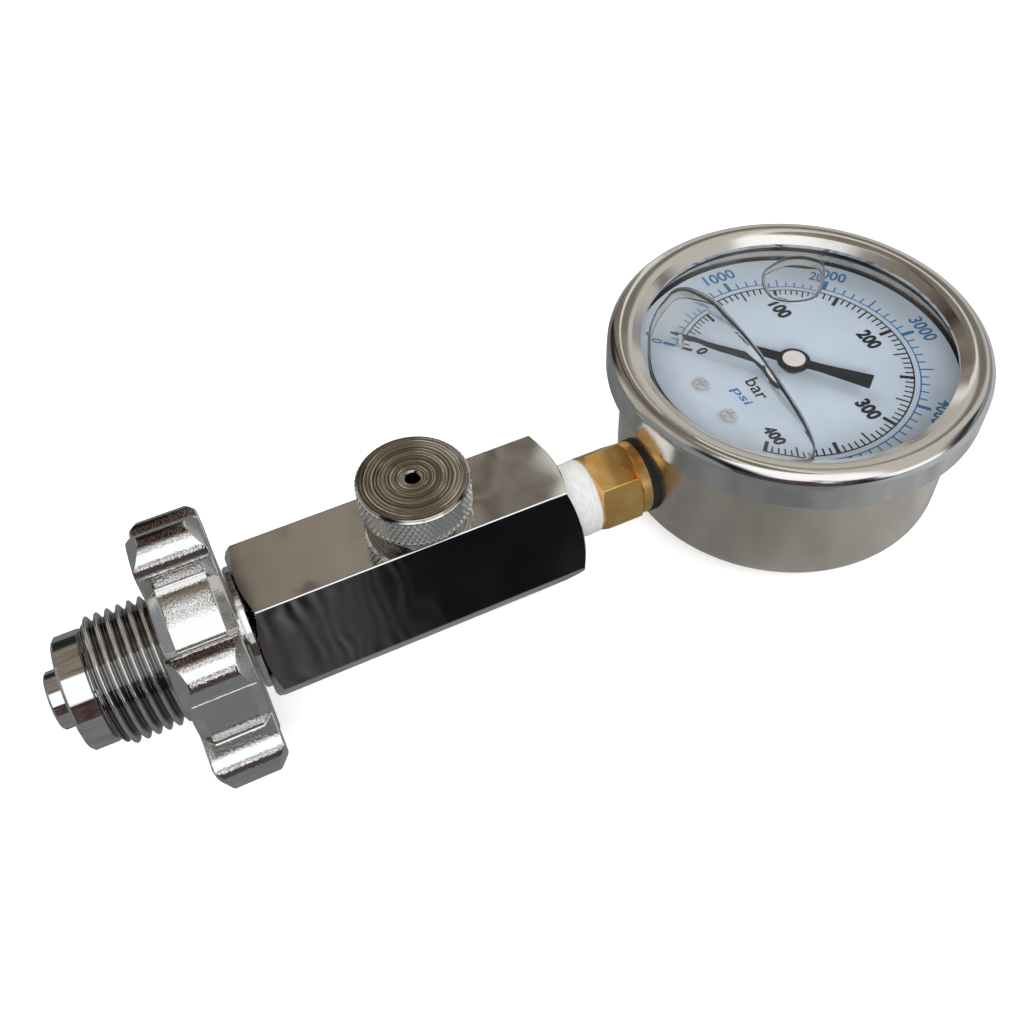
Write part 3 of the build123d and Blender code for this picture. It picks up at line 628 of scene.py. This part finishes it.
tape_radius = tape_r - wound(share, place)
tape_x = tape_start + (tape_end - tape_start) * place
angle = 2 * np.pi * share
outer = np.stack([tape_x, tape_radius * np.cos(angle), tape_radius * np.sin(angle)], -1)
core = turned(np.array([(tape_end, tape_bore), (tape_start, tape_bore)]), columns)
tape_points = np.concatenate([outer, core])
white_tape = finish("white_tape", (0.72, 0.72, 0.715), 0.5, 0.0)
mottled(white_tape, clouds(white_tape, 1.6, 3, stretch=(0.4, 1, 1)),
        (0.54, 0.54, 0.532), (0.62, 0.62, 0.615))
relief(white_tape, clouds(white_tape, 0.7, 2, stretch=(0.5, 3, 3)), 0.012)
tape_mesh = closed_mesh("sealing_tape_piece", tape_points,
                        grid_faces(rows + 2, columns, round_rows=True, round_columns=True), 50)
add_piece("sealing_tape_piece", tape_mesh, "body", "white_plastic", white_tape, "sealing_tape")

# %% [markdown]
# ## The dial's print
# Two scales run round the dial: pressure in bar, black, and in psi, blue outside it. An image
# would be one way, but print drawn as shapes stays sharp at any distance. Every mark is a thin
# quad turned to its value's angle, every scale line a ring of quads, and all of one colour are
# worked out together as arrays. The letters come from the plain built-in type, filled, and
# stretched to the height and width they have on the dial. The rest of the dial stays bare.
# %% Scale of angles
dial_top = span("dial", "z")[1]
zero_angle, full_sweep, full_bar = 133.8, 270.0, 400.0
psi_in_bar = 14.504


def bar_angle(bar):
    """Angle in radians of a pressure: the scale runs clockwise from its zero."""
    return np.radians(zero_angle - full_sweep * np.asarray(bar, float) / full_bar)


def marks(angles, inner, outer, width):
    """Corners of radial marks: a quad between two radii, a given width across."""
    angles = np.asarray(angles)[:, None]
    along = np.array((inner, inner, outer, outer))[None]
    across = np.array((-width, width, width, -width))[None] / 2
    x = along * np.cos(angles) - across * np.sin(angles)
    y = along * np.sin(angles) + across * np.cos(angles)
    return np.stack([x, y], -1).reshape(-1, 4, 2)


def band(start, end, inner, outer, count=240):
    """Quads of a circular line between two angles."""
    angle = np.linspace(start, end, count + 1)
    rings = [np.stack([r * np.cos(angle), r * np.sin(angle)], -1) for r in (inner, outer)]
    return np.stack([rings[0][:-1], rings[0][1:], rings[1][1:], rings[1][:-1]], 1)


def scale(values, in_bar, kinds, line):
    """Quads of a scale: marks from (every, inner, outer, width), the rarest last, and its line."""
    rarity = sum((values % every == 0).astype(int) for every, *_ in kinds)
    quads = [marks(bar_angle(values[rarity == k] / in_bar), *size)
             for k, (_, *size) in enumerate(kinds, 1)]
    return np.concatenate(quads + [band(bar_angle(0), bar_angle(full_bar), *line)])


bar_marks = (5, 20.0, 21.6, 0.33), (25, 18.93, 21.6, 0.36), (50, 19.0, 21.7, 0.75)
psi_marks = (100, 22.7, 24.2, 0.30), (500, 22.7, 25.2, 0.34), (1000, 22.7, 25.2, 0.75)
bar_print = scale(np.arange(0, 401, 5), 1.0, bar_marks, (21.42, 21.7))
psi_print = scale(np.arange(0, 5801, 100), psi_in_bar, psi_marks, (22.6, 22.85))
print(len(bar_print), "black quads,", len(psi_print), "blue quads")


# %% Numbers and units
def lettering(text, height, width, centre, angle, weight=0.0):
    """Points and faces of a line of type, scaled to its height and width, turned and placed."""
    curve = bpy.data.curves.new("line_" + text, "FONT")
    curve.body, curve.offset, curve.resolution_u = text, weight, 3
    curve.align_x, curve.align_y = "CENTER", "CENTER"
    draft = placed("line_" + text, curve)
    bpy.context.view_layer.update()
    shown = draft.evaluated_get(bpy.context.evaluated_depsgraph_get())
    made = bpy.data.meshes.new_from_object(shown)
    points = np.empty(len(made.vertices) * 3, np.float32)
    made.vertices.foreach_get("co", points)
    points = points.reshape(-1, 3)[:, :2].astype(float)
    faces = [list(polygon.vertices) for polygon in made.polygons]
    bpy.data.objects.remove(draft)
    bpy.data.curves.remove(curve)
    bpy.data.meshes.remove(made)
    low, high = points.min(0), points.max(0)
    points = (points - (low + high) / 2) / (high - low) * (width, height)
    cosine, sine = math.cos(angle), math.sin(angle)
    return points @ np.array(((cosine, sine), (-sine, cosine))) + centre, faces


def at(radius, angle):
    return radius * math.cos(angle), radius * math.sin(angle)


upright = -math.pi / 2
bar_words = [lettering(text, 3.0, width, centre, upright, 0.05) for text, width, centre in (
    ("100", 4.6, (6.7, 13.9)), ("200", 4.8, (16.6, -0.5)), ("300", 4.8, (5.9, -14.9)),
    ("400", 4.8, (-11.4, -12.5)), ("0", 1.6, (-11.2, 12.6)))]
bar_words.append(lettering("bar", 3.0, 5.2, (-6.5, -0.6), upright, 0.01))
start_angle = float(bar_angle(0))
psi_words = [lettering("psi", 3.0, 4.6, (-11.0, -1.2), upright, 0.01),
             lettering("0", 2.3, 1.3, at(26.6, start_angle), start_angle + upright, 0.02)]
for value in (1000, 2000, 3000, 4000, 5000):
    angle = float(bar_angle(value / psi_in_bar))
    psi_words.append(lettering(str(value), 2.8, 6.4, at(27.2, angle), angle + upright, 0.02))
print(len(bar_words), "black and", len(psi_words), "blue lines of type")


# %% Print pieces
def print_piece(name, quads, words, colour):
    """One flat piece of ink: all quads and letters of a colour, 0.03 mm above the dial."""
    start = len(quads) * 4
    flat, faces = [quads.reshape(-1, 2)], np.arange(start).reshape(-1, 4).tolist()
    for points, polygons in words:
        flat.append(points)
        faces += [[start + k for k in polygon] for polygon in polygons]
        start += len(points)
    flat = np.vstack(flat)
    points = np.column_stack([flat[:, 0] + dial_x, flat[:, 1], np.full(len(flat), dial_top + 0.03)])
    mesh = bpy.data.meshes.new(name)
    mesh.from_pydata((points * MM).tolist(), [], faces)
    work = bmesh.new()
    work.from_mesh(mesh)
    work.normal_update()
    bmesh.ops.reverse_faces(work, faces=[face for face in work.faces if face.normal.z < 0])
    work.to_mesh(mesh)
    work.free()
    ink = finish(name + "_ink", colour, 0.45, 0.0, Specular_IOR_Level=0.04)
    rough_by(ink, clouds(ink, 1.5), 0.38, 0.55)
    add_piece(name, mesh, "body", "black_paint", ink)


print_piece("bar_scale", bar_print, bar_words, (0.012, 0.013, 0.016))
print_piece("psi_scale", psi_print, psi_words, (0.012, 0.16, 0.36))
print("ink on the dial")

# %% [markdown]
# ## Window, filling and bubbles
# The gauge is filled with a clear oily fluid that damps the pointer, and some air is left in
# it. What is seen through it is bent: the dial seems to lie higher, and the air's edges show as
# dark and bright lines. Painted lines would not move with the eye, so the fluid is a real
# volume with its refractive index, and the air a volume inside it with the inverse index. Lamps
# shine through all of them, because their shadow rays pass as through a transparent surface.
# The darkest of those lines are partly painted: the air's glass is tinted dark on its steep wall as a
# painted reflection, and the fluid near the case's rim as painted shade.
# %% Clear materials


def clear(name, colour, index, edge=None):
    """Glass that bends what is seen through it, and lets the lamps' shadow rays pass.

    With an edge, given as a function that makes a 0 to 1 pattern and a colour, the glass takes
    that colour where the pattern is 1."""
    made = bpy.data.materials.new(name)
    made.use_nodes = True
    made.node_tree.nodes.remove(shader_of(made))
    glass = node(made, "BsdfGlass", Color=(*colour, 1), IOR=index, Roughness=0.0)
    if edge:
        feed(made, glass.inputs["Color"], blend(made, edge[0](made), colour, edge[1]))
    shine = node(made, "BsdfTransparent", _0=(*colour, 1))
    ends_in(made, either(made, ray(made, "Is Shadow Ray"), glass.outputs[0], shine.outputs[0]))
    return made


dress(clear("window_clear", (0.99, 0.995, 1.0), 1.5), "window")
window_low = span("window", "z")[0]


def outer_wall(material):
    """1 from a radius of 29.5 mm outwards: there the fluid meets the case's wall and is tinted dark
    as painted shade.
    """
    return ranged(material, distance_from(material, dial_x, True), 28.9, 29.5)


def air_wall(material):
    """1 on the steep wall of the air, which is tinted dark there as a painted dark reflection of the
    case.
    """
    height = coordinate(material, "z")
    below = ranged(material, height, (window_low - 0.5) * MM, (window_low - 0.7) * MM)
    above = ranged(material, height, (window_low - 1.4) * MM, (window_low - 1.2) * MM)
    return product(material, below, above)


fluid_index = 1.47
# The fluid is tinted dark near the case's rim: painted shade along the wall and the dial's edge.
fluid_clear = clear("fluid_clear", (0.975, 0.985, 1.0), fluid_index, (outer_wall, (0.10, 0.13, 0.20)))
# The air's steep wall is tinted dark: a painted dark reflection added to the real bending.
air_clear = clear("air_clear", (1.0, 1.0, 1.0), 1 / fluid_index, (air_wall, (0.06, 0.065, 0.08)))
print("window underside at", round(window_low, 2))

# %% Filling fluid
fluid_top = window_low - 0.05
fluid_low, fluid_r = dial_top - 0.25, 30.55
filled = rounded([(fluid_low, 0, 0), (fluid_low, fluid_r, 0), (fluid_top, fluid_r, 0.2),
                  (fluid_top, 0, 0)])
columns = 128
fluid_mesh = closed_mesh("filling_fluid", turned(filled, columns, "z", dial_x),
                         grid_faces(len(filled), columns, round_columns=True), 30)
add_piece("filling_fluid", fluid_mesh, "body", "glass", fluid_clear)


# %% Bubbles
def smooth_loop(corners, count):
    """Closed curve through the corners: a cubic through four neighbours at a time, whose slope
    at each corner is half the step between the corners before and after it."""
    corners = np.array(corners, float)
    t = np.linspace(0, len(corners), count, endpoint=False)
    k = t.astype(int)
    f = (t - k)[:, None]
    p = [corners[(k + d) % len(corners)] for d in (-1, 0, 1, 2)]
    return 0.5 * (2 * p[1] + (p[2] - p[0]) * f + (2 * p[0] - 5 * p[1] + 4 * p[2] - p[3]) * f ** 2
                  + (3 * p[1] - p[0] - 3 * p[2] + p[3]) * f ** 3)


def bubble(name, corners, middle, deep, fall, edge):
    """Air under the window: its rim is the loop, its wall a rounded meniscus, its floor level.

    Each profile step goes inwards from the rim by edge times (1 - sin) and down by the depth
    times (1 + cos) / 2 of the same angle; the floor falls away towards the stem by fall per mm."""
    rim = smooth_loop(corners, 220)
    angle = np.linspace(0, np.pi, 15)[:, None]
    inwards = edge * (1 - np.sin(angle))
    reach = np.linalg.norm(rim - middle, axis=1)[None]
    keep = 1 - inwards / reach
    ring = middle + (rim - middle)[None] * keep[..., None]
    depth = deep + fall * np.maximum(middle[0] + 6 - ring[..., 0], 0)
    height = fluid_top - 0.05 - depth * (1 - np.cos(angle)) / 2
    pole = middle + 0 * ring[:1]
    rings = np.concatenate([pole, ring, pole]) + (dial_x, 0)
    heights = np.concatenate([height[:1], height, height[-1:]])
    heights[0], heights[-1] = heights[0].mean(), heights[-1].mean()
    points = np.concatenate([rings, heights[..., None]], -1)
    mesh = closed_mesh(name, points, grid_faces(len(points), 220, round_columns=True), 60)
    add_piece(name, mesh, "body", "glass", air_clear)


large_rim = [(-23.3, 13.4), (-20.3, 18), (-16.7, 21.6), (-13.9, 23.4), (-11.1, 24.9), (-8.6, 24.4),
             (-7, 22.1), (-5.7, 18.3), (-5.6, 14.2), (-5.5, 10.3), (-5.6, 6.2), (-5.8, 3.2),
             (-6.2, -0.8), (-7.1, -7.5), (-8.2, -14.4), (-9.5, -19.2), (-11, -22), (-13, -23.4),
             (-17, -21.6), (-21, -17.6), (-24.4, -12.4), (-26.6, -6.4), (-27.4, 0), (-26.4, 7)]
small_rim = [(6.8, 21.3), (9.2, 22.5), (12, 23.1), (14.2, 23), (17, 21.6), (18.9, 18.5), (16.9, 15),
             (14.2, 12.1), (10.8, 10.6), (6.6, 11.8), (4.3, 14.3), (4.7, 18)]
bubble("large_air_bubble", large_rim, np.array((-16.5, 0.5)), 2.6, 0.05, 0.55)
bubble("small_air_bubble", small_rim, np.array((11.4, 17.0)), 2.4, 0.0, 0.55)

# %% [markdown]
# ## Finishes of the gauge
# The case and its bezel are stainless steel, drawn and then brushed round their axis, the
# bezel to a higher gloss than the case. The socket is machined brass, the dial bluish enamel, and the
# rubber parts are matt black. A hub of bare metal would only mirror what is dark above it, so
# its nickel is satin and partly diffuse, with a black edge.
# %% Steel finishes


def steel(name, base, low, high, rings, height):
    """Stainless steel with clouds in its gloss and fine rings round the gauge's axis."""
    made = finish(name, base, low)
    rough_by(made, clouds(made, 6, 4), low, high)
    relief(made, lathe_lines(made, distance_from(made, dial_x, True), rings, 1.2), height)
    relief(made, clouds(made, 18, 1.0), 0.05)
    return made


case_steel = steel("case_steel", (0.95, 0.85, 0.74), 0.20, 0.30, 0.35, 0.0003)
bezel_steel = steel("bezel_steel", (0.83, 0.81, 0.77), 0.10, 0.18, 0.5, 0.0006)
small_steel = finish("small_steel", (0.74, 0.72, 0.69), 0.18, 0.6)
rough_by(small_steel, clouds(small_steel, 1.5), 0.14, 0.3)
relief(small_steel, clouds(small_steel, 0.3, 2), 0.002)
dress(case_steel, "gauge_case")
dress(bezel_steel, "bezel_ring")
dress(small_steel, "dial_screws", "stop_pin", "movement_screws", "pinion_arbor", "sector_arbor",
      "link_pins")
print("steel on case, bezel and small parts")

# %% Brass and bronze finishes
brass = finish("machined_brass", (0.92, 0.60, 0.22), 0.28)
mottled(brass, clouds(brass, 3.5, 4), (0.95, 0.54, 0.15), (1.0, 0.67, 0.26))
rough_by(brass, clouds(brass, 2.0, 4), 0.24, 0.38)
relief(brass, clouds(brass, 0.35, 3, stretch=(0.4, 8, 8)), 0.012)
bronze = finish("spring_bronze", (0.66, 0.42, 0.24), 0.25)
mottled(bronze, clouds(bronze, 4, 4), (0.56, 0.34, 0.18), (0.72, 0.48, 0.29))
relief(bronze, clouds(bronze, 0.4, 2), 0.002)
dress(brass, "gauge_socket", "movement_back_plate", "movement_front_plate", "movement_pillars",
      "sector_gear", "link")
dress(bronze, "pressure_tube", "tube_tip", "hairspring")
print("brass and bronze done")

# %% Rubber, enamel, paint and nickel
rubber = finish("black_rubber", (0.014, 0.014, 0.015), 0.6, 0.0, Specular_IOR_Level=0.3)
mottled(rubber, clouds(rubber, 2.5, 4), (0.010, 0.010, 0.011), (0.022, 0.021, 0.021))
relief(rubber, clouds(rubber, 0.25, 2), 0.01)
enamel = finish("dial_enamel", (0.545, 0.615, 0.685), 0.35, 0.0, Specular_IOR_Level=0.04)
mottled(enamel, clouds(enamel, 9, 3), (0.54, 0.60, 0.655), (0.57, 0.63, 0.685))
relief(enamel, clouds(enamel, 0.6, 2), 0.003)
black_paint = finish("pointer_paint", (0.012, 0.013, 0.016), 0.35, 0.0, Specular_IOR_Level=0.06)
rough_by(black_paint, clouds(black_paint, 0.8), 0.3, 0.45)
relief(black_paint, clouds(black_paint, 0.35, 2), 0.004)
nickel = finish("hub_nickel", (0.85, 0.79, 0.68), 0.4, 0.35)
black_edge = ranged(nickel, distance_from(nickel, dial_x, True), 2.0, 2.12)
coloured_by(nickel, blend(nickel, black_edge, (0.85, 0.79, 0.68), (0.02, 0.02, 0.022)))
rough_by(nickel, clouds(nickel, 0.8), 0.34, 0.46)
relief(nickel, lathe_lines(nickel, distance_from(nickel, dial_x, True), 0.18), 0.003)
nylon = finish("white_nylon", (0.82, 0.82, 0.80), 0.45, 0.0)
relief(nylon, clouds(nylon, 0.4, 2), 0.004)
dress(rubber, "nose_o_ring", "stem_o_ring", "bleed_o_ring", "socket_gasket", "filling_plug",
      "window_gasket")
for material, name in ((enamel, "dial"), (black_paint, "pointer"), (nickel, "pointer_hub"),
                       (nylon, "bleed_pellet")):
    dress(material, name)
print("rubber, enamel, paint, nickel and nylon done")

# %% [markdown]
# ## Floor, light and what the metal mirrors
# Chrome has no colour of its own to show: it is as good as what stands round it. A photographer
# hangs a big softbox, a ceiling card and dark flags round such an object, all outside the
# picture. Here one long arched card does it, seen only by mirrored and refracted rays, with its
# colours laid out by the angle round the stem. The lamps light the rest at a plain level.
# %% Floor
# The checker rests on the lowest lobe of its wheel and on the far rim of the case's back. The
# paper glows a little, fades to pure white far out, and is darker where metal mirrors it.
contact = np.array([(20.9, -3.96, -24.57), (160.78, 2.87, -9.60)])
along = (contact[1] - contact[0]) / np.linalg.norm(contact[1] - contact[0])
sideways = np.array((0.0, 1.0, 0.013))
normal = np.cross(along, sideways)
normal /= np.linalg.norm(normal)
sideways = np.cross(normal, along)
reach = 2500.0
corners = [contact[0] + along * a * reach + sideways * b * reach
           for a, b in ((-1, -1), (1, -1), (1, 1), (-1, 1))]
floor_mesh = bpy.data.meshes.new("floor")
floor_mesh.from_pydata((np.array(corners) * MM).tolist(), [], [(0, 1, 2, 3)])
floor = placed("floor", floor_mesh)
paper = finish("white_paper", (0.8, 0.8, 0.8), 0.9, 0.0, Specular_IOR_Level=0.0)
surface = shader_of(paper).outputs[0]
glow = node(paper, "Emission", Color=(1, 1, 1, 1), Strength=1.0).outputs[0]
lit = node(paper, "AddShader", _0=surface, _1=glow).outputs[0]
brighter = ranged(paper, coordinate(paper, "x"), 0.10, 0.19, 0.95, 2.6)
strength = product(paper, brighter, between(paper, clouds(paper, 12, 3), 0.72, 1.12))
mirrored = node(paper, "Emission", Color=(0.20, 0.21, 0.215, 1), Strength=strength).outputs[0]
ground = node(paper, "Mapping", Scale=(1, 1, 0), Location=(-0.08, 0, 0),
              Vector=node(paper, "TexCoord").outputs["Object"])
distance = node(paper, "VectorMath", {"operation": "LENGTH"}, _0=ground.outputs[0]).outputs["Value"]
near = either(paper, 0.42, surface, lit)
for_camera = either(paper, ranged(paper, distance, 0.22, 0.42), near, glow)
straight = either(paper, ray(paper, "Is Glossy Ray"), for_camera, mirrored)
ends_in(paper, either(paper, ray(paper, "Is Diffuse Ray"), straight, surface))
floor_mesh.materials.append(paper)
floor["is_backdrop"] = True
low_points = [v.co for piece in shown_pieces() if piece.type == "MESH" for v in piece.data.vertices
              if v.co.z < 0]
floor_gap = (np.array(low_points) / MM - contact[0]) @ normal
print("lowest point above the floor:", round(float(floor_gap.min()), 3), "mm")


# %% World and lamps
def gathered_light(material):
    """1 for rays that a diffuse surface gathers, also where glass lies between."""
    return calc(material, "GREATER_THAN", ray(material, "Diffuse Depth"), 0.5)


world = bpy.data.worlds.new("studio")
bpy.context.scene.world = world
world.use_nodes = True
world.node_tree.nodes.remove(world.node_tree.nodes["Background"])
mirrored, white_sky, dim = (
    node(world, "Background", _0=(*colour, 1), _1=strength).outputs[0] for colour, strength in (
        ((0.24, 0.26, 0.28), 1.0), ((1, 1, 1), 1.0), ((0.96, 0.98, 1.0), 0.45)))
straight = either(world, ray(world, "Is Camera Ray"), mirrored, white_sky)
ends_in(world, either(world, gathered_light(world), straight, dim), "World Output")


def lamp(name, place, target, size, power):
    """Square area lamp in millimetres, aimed at a point, unseen in mirrors and through glass."""
    light = bpy.data.lights.new(name, "AREA")
    light.shape, light.size, light.energy = "SQUARE", size * MM, power
    made = placed(name, light)
    made.location = Vector(place) * MM
    made.rotation_euler = (Vector(place) - Vector(target)).to_track_quat("Z", "Y").to_euler()
    made.visible_glossy = made.visible_transmission = False


middle = (80.0, 0.0, 5.0)
lamp("key_lamp", (-150, -450, 600), middle, 400, 4.0)
lamp("fill_lamp", (450, -300, 500), middle, 500, 3.0)
lamp("back_lamp", (150, 500, 450), middle, 400, 2.0)
print("three lamps")

# %% The arched card
arch_r, arch_x = 900.0, (-1500.0, 1900.0)
angles = np.radians(np.linspace(-19, 200, 140))
x, a = np.meshgrid(np.array(arch_x), angles)
arch_points = np.stack([x, -arch_r * np.cos(a), arch_r * np.sin(a)], -1).reshape(-1, 3)
arch_mesh = bpy.data.meshes.new("arched_card")
arch_mesh.from_pydata((arch_points * MM).tolist(), [], grid_faces(len(angles), 2).tolist())
arch = placed("arched_card", arch_mesh)
for kind in ("camera", "diffuse", "volume_scatter", "shadow"):
    setattr(arch, "visible_" + kind, False)
card = bpy.data.materials.new("card_colours")
card.use_nodes = True
card.node_tree.nodes.remove(shader_of(card))
card_x = coordinate(card, "x")
around = calc(card, "ARCTAN2", coordinate(card, "z"), product(card, coordinate(card, "y"), -1.0))
unwrapped = calc(card, "WRAP", around, math.radians(290), math.radians(-70))
card_start, card_end = -20, 200
share = ranged(card, unwrapped, math.radians(card_start), math.radians(card_end))


def colour_bands(*bands):
    """Colour ramp over the card's degrees: black at first, then (angle, colour) stops."""
    bands = ((card_start, black), *bands)
    ramp = node(card, "ValToRGB", _0=share)
    stops = ramp.color_ramp.elements
    while len(stops) < len(bands):
        stops.new(0.5)
    for stop, (degrees, colour) in zip(stops, bands):
        stop.position = (degrees - card_start) / (card_end - card_start)
        stop.color = (*colour, 1)
    return ramp.outputs[0]


black, white, taupe = (0.006, 0.006, 0.007), (1.15, 1.17, 1.2), (0.25, 0.216, 0.178)
red_brown, smoke, silver = (0.032, 0.009, 0.008), (0.03, 0.03, 0.028), (0.66, 0.65, 0.61)
beige, ivory, pearl = (0.56, 0.53, 0.48), (0.55, 0.535, 0.50), (0.86, 0.85, 0.81)
flag, pale = (0.17, 0.162, 0.148), (0.47, 0.455, 0.42)
print("card colours ready")

# %% Bands of the card
# Each set lists the angles where a colour starts or ends; between two stops it runs over.
nose_bands = colour_bands(
    (-4, black), (-1, red_brown), (33, red_brown), (37, white), (83, white), (86, taupe),
    (150, taupe), (156, smoke), (200, smoke))
wheel_bands = colour_bands(
    (-3, black), (0, red_brown), (22, red_brown), (25, white), (34, white), (36, black),
    (42, black), (44, white), (102, white), (106, taupe), (113, taupe), (117, red_brown),
    (150, red_brown), (156, black), (200, smoke))
hex_bands = colour_bands((33, black), (37, white), (83, white), (86, taupe), (200, taupe))
brass_bands = colour_bands(
    (12, black), (18, white), (83, white), (88, pearl), (176, pearl), (186, taupe), (200, taupe))
gauge_bands = colour_bands(
    (5, black), (9, white), (28, white), (35, ivory), (83, ivory), (88, beige), (112, beige),
    (118, flag), (132, flag), (138, beige), (165, pale), (200, pale))
side_bands = colour_bands((60, black), (86, smoke), (92, beige), (150, beige), (200, silver))


def along_card(first, last, before, after):
    """Colour that changes from one set of bands to the next between two stations."""
    return blend(card, ranged(card, card_x, first, last), before, after)


bands = along_card(-0.11, -0.05, nose_bands, wheel_bands)
bands = along_card(0.0, 0.03, bands, hex_bands)
bands = along_card(0.335, 0.35, bands, brass_bands)
bands = along_card(0.42, 0.46, bands, gauge_bands)
bands = along_card(1.0, 1.25, bands, side_bands)
bands = along_card(-0.65, -0.35, side_bands, bands)
print("six sets of bands along the card")

# %% Smudges and streaks of the card
over_head = ranged(card, unwrapped, math.radians(84), math.radians(90))
over_body = product(card, over_head, ranged(card, card_x, 0.34, 0.36, 1.0, 0.0))
smudge = ranged(card, clouds(card, 160, 3), 0.35, 0.65, 0.85, 1.12)
patches = ranged(card, clouds(card, 70, 4, distortion=1.5), 0.49, 0.56, 1.0, 0.50)
both = node(card, "Mix", {"data_type": "FLOAT"}, _0=over_body, _2=1.0,
            _3=product(card, smudge, patches)).outputs[0]
waves = node(card, "TexWave", Scale=22.0, Distortion=7.0, Detail=3.0, Detail_Scale=0.6,
             Vector=node(card, "TexCoord").outputs["Object"]).outputs["Fac"]
left = ranged(card, card_x, 0.10, 0.19, 1.0, 0.0)
low = ranged(card, unwrapped, math.radians(26), math.radians(33), 1.0, 0.0)
streaks = product(card, ranged(card, waves, 0.35, 1.0, 0.0, 0.12), product(card, left, low))
shaded = node(card, "VectorMath", {"operation": "SCALE"}, _0=bands, Scale=both)
shaded = node(card, "VectorMath", {"operation": "ADD"}, _0=shaded.outputs[0], _1=streaks)
shown = blend(card, gathered_light(card), shaded.outputs[0], (0.43, 0.44, 0.45))
ends_in(card, node(card, "Emission", _0=shown, Strength=1.0).outputs[0])
arch_mesh.materials.append(card)
arch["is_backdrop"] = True
print("arched card of radius", arch_r, "mm")

# %% [markdown]
# ## Last things
# The colours are shown as they are, without a film curve.
# %% Finish
bpy.context.scene.view_settings.view_transform = "Standard"
